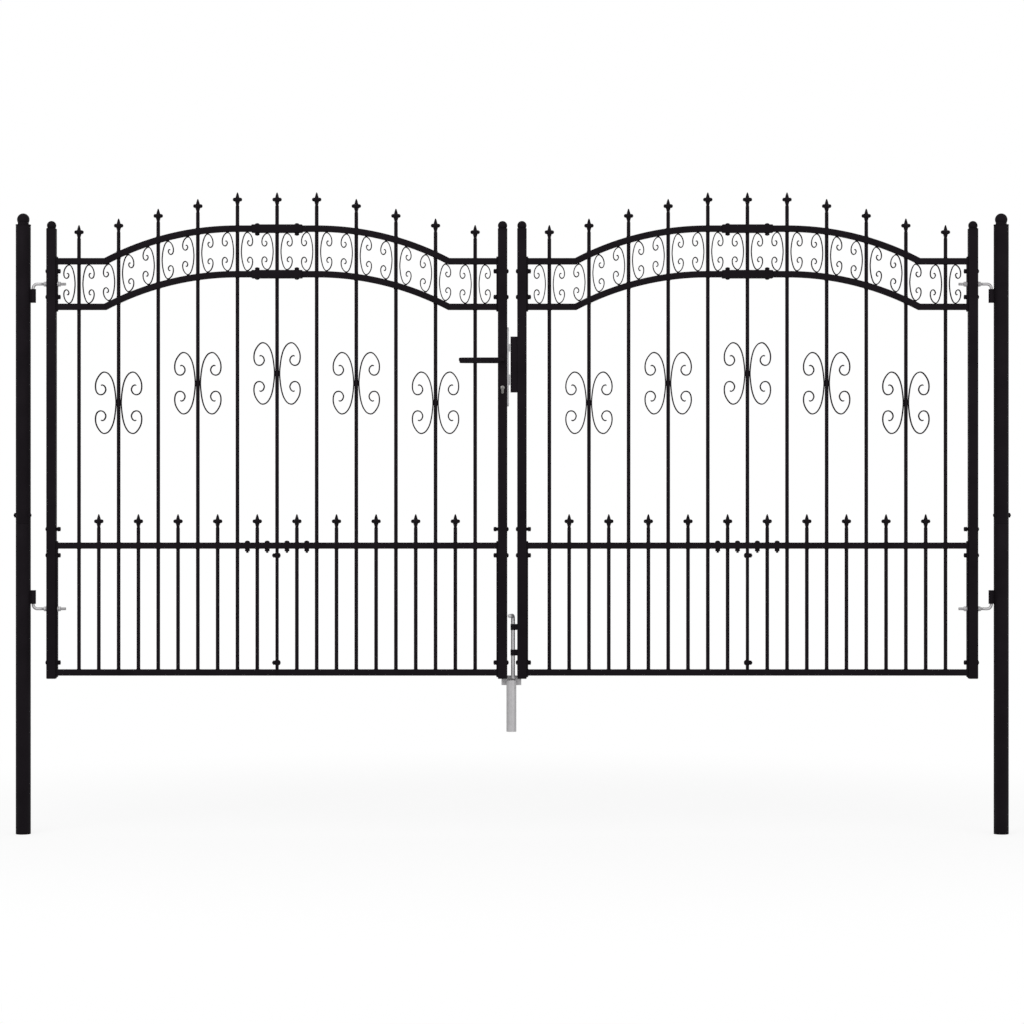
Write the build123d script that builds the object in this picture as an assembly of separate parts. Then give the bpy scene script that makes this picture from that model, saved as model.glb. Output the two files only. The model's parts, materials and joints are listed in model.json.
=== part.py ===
from build123d import *
import math
import os

# A double-leaf arched garden gate between two round posts.
# Lengths are in millimetres. The origin is the centre of the left post's foot,
# +X runs along the gate, +Y points to the back of the gate and +Z is up.

# Posts: two tubes each, joined by a spigot
post_diameter = 60.0
post_wall = 2.0
post_lower_length = 1250.0
post_upper_length = 1201.0
post_foot_thickness = 3.0
spigot_reach = 80.0
spigot_wall = 3.0
spigot_clearance = 0.3
post_cap_thickness = 4.0
post_cap_overhang = 0.5
post_neck_diameter = 44.0
post_ball_diameter = 50.0
post_ball_sink = 5.0

# Leaves: two stiles of square tube each, with ball caps
leaf_gap = 40.0
leaf_width = 1855.0
leaf_bottom = 625.5
leaf_post_gap = 65.0
stile_size = 38.0
stile_wall = 2.0
stile_rise = 128.5
stile_cap_thickness = 3.0
stile_cap_overhang = 0.3
stile_ball_diameter = 37.5
stile_ball_sink = 6.5

# Rails of square tube: heights of their centre lines above the leaf's lower end
rail_size = 25.0
bottom_rail_height = 25.0
mid_rail_height = 536.0
lower_arch_height = 1498.0
arch_spacing = 183.5
arch_rise = 131.4
arch_straight_share = 0.18
arch_kink_share = 0.778

# Flat plates at the ends of each half panel
plate_thickness = 6.0
plate_overhang = 6.0

# Sleeves that join the arched rails of the two half panels
sleeve_length = 205.0
sleeve_wall = 3.8
sleeve_clearance = 0.2
sleeve_chamfer = 3.0

# Upright bars and their spearheads
bar_diameter = 15.0
bar_sides = 6
bars_per_half = 5
bar_edge_share = 0.573
spear_height = 56.0
spear_width = 38.0
spear_thickness = 11.0
spear_arm_height = 13.0
spear_arm_share = 0.49
outer_spear_reach = 146.3
short_spear_reach = 127.0
spear_rise_shares = (1.0, 1.0, 0.8, 0.5, 0.2, 0.0)
spear_outline_shares = (
    (0.37, 0.0),
    (0.3, 0.13),
    (0.62, 0.34),
    (1.0, 0.43),
    (1.0, 0.55),
    (0.72, 0.63),
    (0.34, 0.67),
    (0.0, 1.0),
)

# Scrolls of flat bar: between the arches, and in pairs on every second bar
scroll_depth = 12.0
scroll_clearance = 0.3
band_scroll_thickness = 4.0
band_scroll_width = 46.0
band_scroll_offset = 15.8
band_scroll_crown_share = 0.5
band_scroll_shares = (
    (0.0, 0.0),
    (0.07, 0.6),
    (0.36, 1.0),
    (0.64, 1.0),
    (1.0, 0.72),
    (0.93, 0.45),
    (0.7, 0.32),
    (0.48, 0.5),
    (0.62, 0.6),
)
bar_scroll_thickness = 5.0
bar_scroll_width = 84.0
bar_scroll_height = 253.0
bar_scroll_middle = 1111.5
bar_scroll_rise_shares = (0.9, 0.6, 0.0)
bar_scroll_shares = (
    (0.0, 0.0),
    (0.05, 0.4),
    (0.22, 0.82),
    (0.5, 1.0),
    (0.66, 1.0),
    (0.98, 0.68),
    (0.94, 0.36),
    (0.72, 0.27),
    (0.5, 0.4),
    (0.6, 0.57),
)

# Hinges: bent rods through the hinge stile, hung in barrels on the post
hinge_rod_diameter = 12.0
hinge_bend_radius = 17.0
hinge_rod_overhang = 39.0
hinge_pin_clearance = 0.05
hinge_hole_clearance = 0.5
barrel_diameter = 22.0
barrel_length = 55.0
barrel_sink = 1.0
upper_barrel_height = 1514.5
lower_barrel_height = 301.5
hinge_rod_drop = 20.0

# Lock in the left leaf's meeting stile: its pieces are placed from its middle
lock_height = 1256.0
lock_plate_length = 319.0
lock_plate_width = 22.0
lock_plate_thickness = 6.0
lock_case_length = 277.0
lock_case_depth = 30.0
lock_case_width = 16.0
lock_case_clearance = 0.5
lock_backset = 19.0
latch_rise = 77.0
latch_length = 31.0
latch_width = 10.0
latch_reach = 6.2
latch_tail = 14.0
latch_clearance = 0.5
dead_bolt_drop = 52.0
dead_bolt_length = 43.0
dead_bolt_corner = 2.0
cylinder_drop = 84.5
cylinder_diameter = 17.0
cylinder_web = 10.0
cylinder_length = 33.0
cylinder_stand = 5.0
cylinder_clearance = 0.3

# Lever handles on a square spindle
lever_rise = 26.5
lever_length = 175.0
lever_grip_height = 16.5
lever_grip_thickness = 12.0
lever_grip_rounding = 4.0
lever_neck_diameter = 16.0
lever_stand = 52.0
lever_gap = 0.5
spindle_size = 8.0
spindle_hole_diameter = 13.0
spindle_end_gap = 0.5

# Keeper on the right leaf's meeting stile
keeper_reach = 27.0
keeper_depth = 32.0
keeper_wall = 3.0
keeper_slot_margin = 5.0
keeper_end_margin = 24.0

# Drop bolt on the right leaf and its guides
drop_bolt_diameter = 16.0
drop_bolt_offset = 17.0
drop_bolt_clearance = 0.5
drop_bolt_overhang = 1.5
drop_bolt_length = 256.0
drop_bolt_bend_radius = 13.0
drop_bolt_handle = 55.0
drop_bolt_turn = 15.0
guide_diameter = 20.0
guide_length = 24.0
guide_arm_width = 14.0
lower_guide_height = 93.5
upper_guide_height = 196.5

# Ground sleeve with the stop plate that the leaves close against
ground_sleeve_diameter = 40.0
ground_sleeve_wall = 2.5
ground_sleeve_offset = 3.5
ground_sleeve_drop = 6.5
ground_sleeve_length = 207.0
stop_width = 80.0
stop_thickness = 5.0
stop_height = 39.0
stop_overlap = 11.5
stop_gap = 5.0

# Cuts run this far past the faces that they open
overrun = 1.0

# Places that follow from the sizes above
post_radius = post_diameter / 2
post_top = post_lower_length + post_upper_length
leaf_left = post_radius + leaf_post_gap
leaf_right = leaf_left + leaf_width
leaf_centre = leaf_left + leaf_width / 2
gate_centre = leaf_right + leaf_gap / 2
upper_arch_height = lower_arch_height + arch_spacing
stile_top = leaf_bottom + upper_arch_height + stile_rise
half_clear = leaf_width / 2 - stile_size
bar_pitch = half_clear / (bars_per_half + bar_edge_share)
hinge_axis = post_radius + barrel_diameter / 2 - barrel_sink
upper_barrel_bottom = leaf_bottom + upper_barrel_height
lower_barrel_bottom = leaf_bottom + lower_barrel_height
hinge_places = ((upper_barrel_bottom, False), (lower_barrel_bottom, True))
arch_straight = half_clear * arch_straight_share
arch_run = half_clear * arch_kink_share - arch_straight
arch_radius = (arch_run ** 2 + arch_rise ** 2) / (2 * arch_rise)
sleeve_size = rail_size + 2 * (sleeve_wall + sleeve_clearance)
lock_axis = leaf_right - lock_backset
lock_middle = leaf_bottom + lock_height
latch_height = lock_middle + latch_rise
dead_bolt_height = lock_middle - dead_bolt_drop
cylinder_height = lock_middle - cylinder_drop
lever_height = lock_middle + lever_rise
right_leaf_plane = Plane.YZ.offset(gate_centre)
leaf_plane = Plane.YZ.offset(leaf_centre)


def block(x_low, x_high, y_low, y_high, z_low, z_high):
    """A box between two corners."""
    size = Box(x_high - x_low, y_high - y_low, z_high - z_low)
    return Pos((x_low + x_high) / 2, (y_low + y_high) / 2, (z_low + z_high) / 2) * size


def upright(diameter, z_low, z_high):
    """A cylinder that stands on the Z axis."""
    return Pos(0, 0, z_low) * extrude(Circle(diameter / 2), amount=z_high - z_low)


def across(diameter, y_low, y_high):
    """A cylinder that lies on the Y axis."""
    return Pos(0, y_low, 0) * Rot(-90, 0, 0) * extrude(Circle(diameter / 2), amount=y_high - y_low)


def along(diameter, x_low, x_high):
    """A cylinder that lies on the X axis."""
    return Pos(x_low, 0, 0) * Rot(0, 90, 0) * extrude(Circle(diameter / 2), amount=x_high - x_low)


def joined(pieces):
    """All pieces fused into one solid."""
    return pieces[0].fuse(*pieces[1:])


# Posts

def post_tube(z_low, z_high):
    """A length of the post's tube."""
    bore = upright(post_diameter - 2 * post_wall, z_low - overrun, z_high + overrun)
    return upright(post_diameter, z_low, z_high) - bore


def post_lower():
    """The lower tube with its closed foot and the spigot that the upper tube slides over."""
    inside = post_diameter - 2 * post_wall
    spigot_diameter = inside - 2 * spigot_clearance
    spigot_low = post_lower_length - spigot_reach
    spigot_high = post_lower_length + spigot_reach
    spigot = upright(inside, spigot_low, post_lower_length)
    spigot += upright(spigot_diameter, spigot_low, spigot_high)
    spigot -= upright(spigot_diameter - 2 * spigot_wall, spigot_low - overrun, spigot_high + overrun)
    foot = upright(inside, 0, post_foot_thickness)
    return post_tube(0, post_lower_length) + spigot + foot


def ball_cap(base, base_top, ball_diameter, sink, neck_diameter):
    """A ball that sits a little way into its base, on a short neck."""
    ball_height = base_top + ball_diameter / 2 - sink
    neck = upright(neck_diameter, base_top, ball_height)
    return base + neck + Pos(0, 0, ball_height) * Sphere(ball_diameter / 2)


def post_cap():
    """The disc, neck and ball on top of a post."""
    disc_top = post_top + post_cap_thickness
    disc = upright(post_diameter + 2 * post_cap_overhang, post_top, disc_top)
    return ball_cap(disc, disc_top, post_ball_diameter, post_ball_sink, post_neck_diameter)


def barrel(z_low):
    """A hinge barrel, coped to the post that it is welded to."""
    z_high = z_low + barrel_length
    bore_diameter = hinge_rod_diameter + 2 * hinge_pin_clearance
    tube = Pos(hinge_axis, 0, 0) * upright(barrel_diameter, z_low, z_high)
    tube -= Pos(hinge_axis, 0, 0) * upright(bore_diameter, z_low - overrun, z_high + overrun)
    return tube - upright(post_diameter, z_low - overrun, z_high + overrun)


# Leaf frame

def stile(x_low):
    """A stile of square tube whose left face is at x_low."""
    half = stile_size / 2
    outer = block(x_low, x_low + stile_size, -half, half, leaf_bottom, stile_top)
    bore_low = leaf_bottom - overrun
    bore_high = stile_top + overrun
    bore_left = x_low + stile_wall
    bore_right = x_low + stile_size - stile_wall
    reach = half - stile_wall
    return outer - block(bore_left, bore_right, -reach, reach, bore_low, bore_high)


def stile_cap(x_middle):
    """The square plate and ball on top of a stile."""
    side = stile_size / 2 + stile_cap_overhang
    plate_top = stile_top + stile_cap_thickness
    plate = block(-side, side, -side, side, stile_top, plate_top)
    neck_diameter = stile_ball_diameter - 2 * stile_ball_sink
    cap = ball_cap(plate, plate_top, stile_ball_diameter, stile_ball_sink, neck_diameter)
    return Pos(x_middle, 0, 0) * cap


def hinge_rod_height(z_low, upwards):
    """Height of the bent rod's level arm, above or below its barrel."""
    if upwards:
        return z_low - hinge_rod_drop
    return z_low + barrel_length + hinge_rod_drop


def hinge_bolt(z_low, upwards):
    """A bent rod: its pin in the barrel and its level arm through the stile."""
    arm_height = hinge_rod_height(z_low, upwards)
    pin_end = z_low + barrel_length if upwards else z_low
    arm_end = leaf_left + stile_size + hinge_rod_overhang
    pin = (hinge_axis, 0, pin_end)
    corner = (hinge_axis, 0, arm_height)
    arm = (arm_end, 0, arm_height)
    path = FilletPolyline(pin, corner, arm, radius=hinge_bend_radius)
    section = Plane(origin=path @ 0, z_dir=path % 0) * Circle(hinge_rod_diameter / 2)
    return sweep(section, path=path)


def hinge_holes():
    """Cutters for the two hinge rods' holes, through the hinge stile and the plate beside it."""
    hole_diameter = hinge_rod_diameter + 2 * hinge_hole_clearance
    hole_end = leaf_left + stile_size + plate_thickness + overrun
    holes = []
    for z_low, upwards in hinge_places:
        hole = along(hole_diameter, leaf_left - overrun, hole_end)
        holes.append(Pos(0, 0, hinge_rod_height(z_low, upwards)) * hole)
    return holes


# Half panels, in the leaf's own coordinates with x = 0 at its centre

def arch_point(flat_height, offset, x):
    """Height of an edge that runs at an offset beside an arched rail's centre line."""
    radius = arch_radius + offset
    centre_height = flat_height + arch_rise - arch_radius
    flat = flat_height + offset
    run = max(abs(x) - arch_straight, 0)
    if run >= radius:
        return flat
    return max(centre_height + math.sqrt(radius ** 2 - run ** 2), flat)


def arch_slope(x):
    """Rise per unit of x of the arched rails, at x."""
    run = abs(x) - arch_straight
    if run <= 0 or run >= arch_run:
        return 0.0
    steepness = run / math.sqrt(arch_radius ** 2 - run ** 2)
    return math.copysign(steepness, -x)


def arch_edge(flat_height, offset, x_outer, x_inner):
    """Level end, arc and level crown of one edge of an arched rail's left half."""
    radius = arch_radius + offset
    centre_height = flat_height + arch_rise - arch_radius
    flat = flat_height + offset
    crown = centre_height + radius
    reach = math.sqrt(radius ** 2 - (flat - centre_height) ** 2)
    half_run = reach / 2
    half_height = centre_height + math.sqrt(radius ** 2 - half_run ** 2)
    kink = (-arch_straight - reach, flat)
    crown_start = (-arch_straight, crown)
    return [
        Line((x_outer, flat), kink),
        ThreePointArc(kink, (-arch_straight - half_run, half_height), crown_start),
        Line(crown_start, (x_inner, crown)),
    ]


def arch_rail(flat_height):
    """The left half of an arched rail, which ends beside the centre bar."""
    half = rail_size / 2
    x_outer = -half_clear + plate_thickness
    x_inner = -bar_diameter / 2 - sleeve_clearance
    top = arch_edge(flat_height, half, x_outer, x_inner)
    bottom = arch_edge(flat_height, -half, x_outer, x_inner)
    ends = [Line(top[0] @ 0, bottom[0] @ 0), Line(top[2] @ 1, bottom[2] @ 1)]
    return extrude(Plane.XZ * make_face(top + bottom + ends), amount=half, both=True)


def level_rail(height, x_inner):
    """The left half of a straight rail."""
    half = rail_size / 2
    return block(-half_clear + plate_thickness, x_inner, -half, half, height - half, height + half)


def plate(x_low, z_low, z_high):
    """A flat plate that stands between the rails' ends and what they bolt to."""
    half = rail_size / 2
    return block(x_low, x_low + plate_thickness, -half, half, z_low, z_high)


def bar_section(clearance):
    """Section of an upright bar, with flats towards its neighbours."""
    turn = 180 / bar_sides
    return RegularPolygon(bar_diameter / 2 + clearance, bar_sides, major_radius=False, rotation=turn)


def bar(x, z_low, z_high):
    """An upright bar."""
    return Pos(x, 0, z_low) * extrude(bar_section(0), amount=z_high - z_low)


def spear_tip(step):
    """Height of the spear tip on the bar that stands so many pitches from the centre."""
    return upper_arch_height + outer_spear_reach + arch_rise * spear_rise_shares[step]


def half_panel():
    """The left half of a leaf's welded infill: rails, plates and bars."""
    half = rail_size / 2
    reach = half + plate_overhang
    pieces = [
        arch_rail(upper_arch_height),
        arch_rail(lower_arch_height),
        level_rail(mid_rail_height, 0),
        level_rail(bottom_rail_height, -plate_thickness),
        plate(-half_clear, lower_arch_height - reach, upper_arch_height + reach),
        plate(-half_clear, bottom_rail_height - reach, mid_rail_height + reach),
        plate(-plate_thickness, bottom_rail_height - half, mid_rail_height - half),
    ]
    for step in range(bars_per_half):
        tall_x = -bar_pitch * (step + 1)
        short_x = tall_x + bar_pitch / 2
        short_top = mid_rail_height + short_spear_reach - spear_height
        pieces.append(bar(tall_x, bottom_rail_height, spear_tip(step + 1) - spear_height))
        pieces.append(bar(short_x, bottom_rail_height, short_top))
    return joined(pieces)


def centre_bar():
    """The separate bar that stands on the mid rail, through both arch sleeves."""
    return bar(0, mid_rail_height + rail_size / 2, spear_tip(0) - spear_height)


def arch_sleeve(flat_height):
    """A square sleeve over the ends of both halves of an arched rail, bored for the centre bar."""
    height = flat_height + arch_rise
    half = sleeve_size / 2
    reach = sleeve_length / 2
    inner = rail_size / 2 + sleeve_clearance
    sleeve = block(-reach, reach, -half, half, height - half, height + half)
    ends = sleeve.faces().filter_by(Axis.X)
    sleeve = chamfer(ends.edges(), length=sleeve_chamfer)
    sleeve -= block(-reach - overrun, reach + overrun, -inner, inner, height - inner, height + inner)
    bore = extrude(bar_section(sleeve_clearance), amount=sleeve_size + 2 * overrun)
    return sleeve - Pos(0, 0, height - half - overrun) * bore


def spear(x, tip):
    """A spearhead with four arms, standing on the end of a bar."""
    half = [(share * spear_width / 2, height * spear_height) for share, height in spear_outline_shares]
    outline = half + [(-side, height) for side, height in reversed(half[:-1])]
    face = make_face(Polyline(*outline, close=True))
    head = extrude(Plane.XZ * face, amount=spear_thickness / 2, both=True)
    arm_low = spear_arm_share * spear_height - spear_arm_height / 2
    reach = spear_width / 2
    side = spear_thickness / 2
    head += block(-side, side, -reach, reach, arm_low, arm_low + spear_arm_height)
    return Pos(x, 0, tip - spear_height) * head


def spears():
    """Every spearhead of a leaf: tall bars, then the short bars between them."""
    heads = []
    for step in range(-bars_per_half, bars_per_half + 1):
        heads.append(spear(step * bar_pitch, spear_tip(abs(step))))
    for step in range(-bars_per_half, bars_per_half):
        heads.append(spear((step + 0.5) * bar_pitch, mid_rail_height + short_spear_reach))
    return heads


# Scrolls

def thickened(path, thickness):
    """Outline of a flat bar that follows a path, mitred at each point."""
    headings = []
    for (x0, z0), (x1, z1) in zip(path, path[1:]):
        span = math.hypot(x1 - x0, z1 - z0)
        headings.append(((z0 - z1) / span, (x1 - x0) / span))
    before = [headings[0]] + headings
    after = headings + [headings[-1]]
    left, right = [], []
    for (x, z), (ax, az), (bx, bz) in zip(path, before, after):
        scale = thickness / 2 / (1 + ax * bx + az * bz)
        shift = ((ax + bx) * scale, (az + bz) * scale)
        left.append((x + shift[0], z + shift[1]))
        right.append((x - shift[0], z - shift[1]))
    return left + right[::-1]


def scroll_outline(shares, width, height, thickness):
    """Outline of a C-scroll with its spine at x = 0, symmetric above and below z = 0."""
    reach = height / 2 - thickness / 2
    upper = [(x * width, z * reach) for x, z in shares]
    lower = [(x, -z) for x, z in reversed(upper[1:])]
    return thickened(lower + upper, thickness)


def scroll(outline, side, x, z):
    """A C-scroll that opens to the right for side 1 and to the left for side -1."""
    face = make_face(Polyline(*[(side * px, pz) for px, pz in outline], close=True))
    return Pos(x, 0, z) * extrude(Plane.XZ * face, amount=scroll_depth / 2, both=True)


def band_room(x):
    """Half the clear height between the arched rails, or their sleeves, at x."""
    half = rail_size / 2 * math.sqrt(1 + arch_slope(x) ** 2)
    if abs(x) < sleeve_length / 2:
        half = sleeve_size / 2
    return (upper_arch_height - lower_arch_height) / 2 - half - scroll_clearance


def band_scroll(step, side):
    """A scroll beside a bar, sized so that it just reaches both rails where they slope."""
    spine_x = step * bar_pitch + side * band_scroll_offset
    crown = band_scroll_crown_share * band_scroll_width
    crown_x = spine_x + side * crown
    room = band_room(crown_x)
    slope = abs(arch_slope(crown_x))
    outline = scroll_outline(band_scroll_shares, band_scroll_width, 2 * room, band_scroll_thickness)
    fits = [(room - slope * abs(x - crown)) / z for x, z in outline if z > 0]
    height = 2 * room * min(fits)
    outline = scroll_outline(band_scroll_shares, band_scroll_width, height, band_scroll_thickness)
    middle = (arch_point(upper_arch_height, 0, crown_x) + arch_point(lower_arch_height, 0, crown_x)) / 2
    return scroll(outline, side, spine_x, middle)


def band_scrolls():
    """The scrolls on both sides of every bar, between the arches."""
    steps = range(-bars_per_half, bars_per_half + 1)
    return [band_scroll(step, side) for step in steps for side in (-1, 1)]


def bar_scrolls():
    """The pairs of tall scrolls, back to back on every second bar."""
    outline = scroll_outline(bar_scroll_shares, bar_scroll_width, bar_scroll_height, bar_scroll_thickness)
    offset = bar_diameter / 2 + bar_scroll_thickness / 2 + scroll_clearance
    pieces = []
    for step in range(-bars_per_half + 1, bars_per_half, 2):
        middle = bar_scroll_middle + arch_rise * bar_scroll_rise_shares[abs(step) // 2]
        for side in (-1, 1):
            pieces.append(scroll(outline, side, step * bar_pitch + side * offset, middle))
    return pieces


# Lock, lever and keeper

def cylinder_section(clearance):
    """Section of the lock cylinder: a circle with a web that hangs below it."""
    radius = cylinder_diameter / 2 + clearance
    half = cylinder_web / 2 + clearance
    drop = cylinder_length - cylinder_diameter / 2 + clearance
    web = Pos(0, -drop + half) * Circle(half)
    stem = Pos(0, -(drop - half) / 2) * Rectangle(2 * half, drop - half)
    return Circle(radius) + stem + web


def lock_cylinder(clearance, reach):
    """The lock cylinder through the stile, or the hole for it."""
    place = Pos(lock_axis, 0, cylinder_height)
    return place * extrude(Plane.XZ * cylinder_section(clearance), amount=reach, both=True)


def bolt_nose(height, length, clearance, x_low, x_high):
    """A lock bolt, or the channel for it, centred on a height."""
    half = latch_width / 2 + clearance
    reach = length / 2 + clearance
    return block(x_low, x_high, -half, half, height - reach, height + reach)


def lock_body():
    """The lock's case inside the stile and its faceplate on the stile's edge."""
    half_case = lock_case_length / 2
    half_plate = lock_plate_length / 2
    front = leaf_right + lock_plate_thickness
    case_width = lock_case_width / 2
    plate_width = lock_plate_width / 2
    case = block(leaf_right - lock_case_depth, leaf_right, -case_width, case_width,
                 lock_middle - half_case, lock_middle + half_case)
    case += block(leaf_right, front, -plate_width, plate_width,
                  lock_middle - half_plate, lock_middle + half_plate)
    tail = leaf_right - latch_tail - latch_reach - latch_clearance
    case -= bolt_nose(latch_height, latch_length, latch_clearance, tail, front + overrun)
    bolt_tail = leaf_right - latch_tail
    case -= bolt_nose(dead_bolt_height, dead_bolt_length, 0, bolt_tail, front + overrun)
    case -= lock_cylinder(cylinder_clearance, lock_case_width)
    spindle_hole = across(spindle_hole_diameter, -lock_case_width, lock_case_width)
    return case - Pos(lock_axis, 0, lever_height) * spindle_hole


def latch():
    """The spring latch, bevelled on the side that meets the keeper as the leaf closes."""
    nose = leaf_right + lock_plate_thickness + latch_reach
    body = bolt_nose(latch_height, latch_length, 0, leaf_right - latch_tail, nose)
    edge = body.edges().filter_by(Axis.Z).group_by(Axis.X)[-1].sort_by(Axis.Y)[-1]
    return chamfer(edge, length=latch_reach, length2=latch_width / 2)


def dead_bolt():
    """The dead bolt, with rounded corners on its nose."""
    nose = leaf_right + lock_plate_thickness + latch_reach
    body = bolt_nose(dead_bolt_height, dead_bolt_length, 0, leaf_right - latch_tail, nose)
    return fillet(body.edges().filter_by(Axis.Y).group_by(Axis.X)[-1], radius=dead_bolt_corner)


def meeting_stile():
    """The left leaf's meeting stile, cut for the lock case, cylinder and spindle."""
    tube = stile(leaf_right - stile_size)
    half_case = lock_case_length / 2 + lock_case_clearance
    case_width = lock_case_width / 2 + lock_case_clearance
    tube -= block(leaf_right - stile_wall - overrun, leaf_right + overrun, -case_width, case_width,
                  lock_middle - half_case, lock_middle + half_case)
    tube -= lock_cylinder(cylinder_clearance, stile_size)
    spindle_hole = across(spindle_hole_diameter, -stile_size, stile_size)
    return tube - Pos(lock_axis, 0, lever_height) * spindle_hole


def lever(side):
    """A lever handle on the front for side -1 and on the back for side 1."""
    face = stile_size / 2 + lever_gap
    grip_inner = stile_size / 2 + lever_stand - lever_grip_thickness
    grip_outer = stile_size / 2 + lever_stand
    half = lever_grip_height / 2
    grip = block(-lever_length, lever_neck_diameter / 2, grip_inner, grip_outer, -half, half)
    grip = fillet(grip.edges().filter_by(Axis.X), radius=lever_grip_rounding)
    handle = grip + across(lever_neck_diameter, face, grip_outer - lever_grip_rounding)
    socket = spindle_size / 2
    handle -= block(-socket, socket, face - overrun, grip_inner, -socket, socket)
    if side < 0:
        handle = mirror(handle, about=Plane.XZ)
    return Pos(lock_axis, 0, lever_height) * handle


def lever_spindle():
    """The square bar that joins both lever handles through the lock."""
    half = spindle_size / 2
    reach = stile_size / 2 + lever_stand - lever_grip_thickness - spindle_end_gap
    return Pos(lock_axis, 0, lever_height) * block(-half, half, -reach, reach, -half, half)


def keeper():
    """A hollow box on the right meeting stile with a slot for each bolt of the lock."""
    right = gate_centre + leaf_gap / 2
    left = right - keeper_reach
    half = keeper_depth / 2
    low = dead_bolt_height - dead_bolt_length / 2 - keeper_slot_margin - keeper_end_margin
    high = latch_height + latch_length / 2 + keeper_slot_margin + keeper_end_margin
    box = block(left, right, -half, half, low, high)
    inner = half - keeper_wall
    box -= block(left + keeper_wall, right - keeper_wall, -inner, inner,
                 low + keeper_wall, high - keeper_wall)
    for height, length in ((latch_height, latch_length), (dead_bolt_height, dead_bolt_length)):
        box -= bolt_nose(height, length, keeper_slot_margin, left - overrun, left + keeper_wall + overrun)
    return box


# Drop bolt and ground sleeve

def drop_bolt_axis():
    """X of the drop bolt, beside the right meeting stile."""
    return gate_centre + leaf_gap / 2 - drop_bolt_offset


def drop_bolt():
    """The round rod with its handle bent forward."""
    turn = math.radians(drop_bolt_turn)
    top = (0, 0, drop_bolt_length)
    end = (-drop_bolt_handle * math.sin(turn), -drop_bolt_handle * math.cos(turn), drop_bolt_length)
    path = FilletPolyline((0, 0, 0), top, end, radius=drop_bolt_bend_radius)
    section = Plane(origin=path @ 0, z_dir=path % 0) * Circle(drop_bolt_diameter / 2)
    return Pos(drop_bolt_axis(), 0, leaf_bottom - drop_bolt_overhang) * sweep(section, path=path)


def guide(height):
    """A ring round the drop bolt on an arm welded to the stile."""
    z_low = leaf_bottom + height
    z_high = z_low + guide_length
    half = guide_arm_width / 2
    ring = upright(guide_diameter, z_low, z_high) + block(0, drop_bolt_offset, -half, half, z_low, z_high)
    ring -= upright(drop_bolt_diameter + 2 * drop_bolt_clearance, z_low - overrun, z_high + overrun)
    return Pos(drop_bolt_axis(), 0, 0) * ring


def ground_sleeve():
    """The tube set in the ground, with the stop plate welded behind it."""
    stop_face = stile_size / 2 + stop_gap
    x = gate_centre - ground_sleeve_offset
    y = stop_face + ground_sleeve_wall / 2 - ground_sleeve_diameter / 2
    top = leaf_bottom - ground_sleeve_drop
    bottom = top - ground_sleeve_length
    place = Pos(x, y, 0)
    tube = place * upright(ground_sleeve_diameter, bottom, top)
    stop_top = leaf_bottom + stop_overlap
    stop = block(x - stop_width / 2, x + stop_width / 2, stop_face, stop_face + stop_thickness,
                 stop_top - stop_height, stop_top)
    bore = ground_sleeve_diameter - 2 * ground_sleeve_wall
    return (tube + stop) - place * upright(bore, bottom - overrun, top + overrun)


# Nodes

def left_leaf_pieces():
    """The pieces that both leaves have, at the left leaf's place."""
    place = Pos(leaf_centre, 0, leaf_bottom)
    panel = place * half_panel()
    stile_middles = (leaf_left + stile_size / 2, leaf_right - stile_size / 2)
    return {
        "hinge_stile": stile(leaf_left) - hinge_holes(),
        "stile_caps": Compound([stile_cap(x_middle) for x_middle in stile_middles]),
        "outer_panel": panel - hinge_holes(),
        "inner_panel": mirror(panel, about=leaf_plane),
        "centre_bar": place * centre_bar(),
        "arch_sleeves": place * Compound([arch_sleeve(upper_arch_height), arch_sleeve(lower_arch_height)]),
        "spears": place * Compound(spears()),
        "band_scrolls": place * Compound(band_scrolls()),
        "bar_scrolls": place * Compound(bar_scrolls()),
        "hinge_bolts": Compound([hinge_bolt(z_low, upwards) for z_low, upwards in hinge_places]),
    }


def left_post_pieces():
    """The pieces that both posts have, at the left post's place."""
    return {
        "post_lower": post_lower(),
        "post_upper": post_tube(post_lower_length, post_top),
        "hinge_barrels": Compound([barrel(z_low) for z_low, upwards in hinge_places]),
    }


def all_nodes():
    """Every node of the gate by name."""
    nodes = {}
    for name, piece in {**left_post_pieces(), **left_leaf_pieces()}.items():
        nodes["left_" + name] = piece
        nodes["right_" + name] = mirror(piece, about=right_leaf_plane)
    cap = post_cap()
    nodes["post_caps"] = Compound([cap, mirror(cap, about=right_leaf_plane)])
    nodes["left_meeting_stile"] = meeting_stile()
    nodes["right_meeting_stile"] = mirror(stile(leaf_right - stile_size), about=right_leaf_plane)
    nodes["lock_body"] = lock_body()
    nodes["lock_cylinder"] = lock_cylinder(0, stile_size / 2 + cylinder_stand)
    nodes["latch"] = latch()
    nodes["dead_bolt"] = dead_bolt()
    nodes["front_lever"] = lever(-1)
    nodes["back_lever"] = lever(1)
    nodes["lever_spindle"] = lever_spindle()
    nodes["keeper"] = keeper()
    nodes["drop_bolt"] = drop_bolt()
    nodes["drop_bolt_guides"] = Compound([guide(lower_guide_height), guide(upper_guide_height)])
    nodes["ground_sleeve"] = ground_sleeve()
    return nodes


os.makedirs("parts", exist_ok=True)
for node_name, shape in all_nodes().items():
    export_step(shape, f"parts/{node_name}.step")
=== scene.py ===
import json
import math

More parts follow.
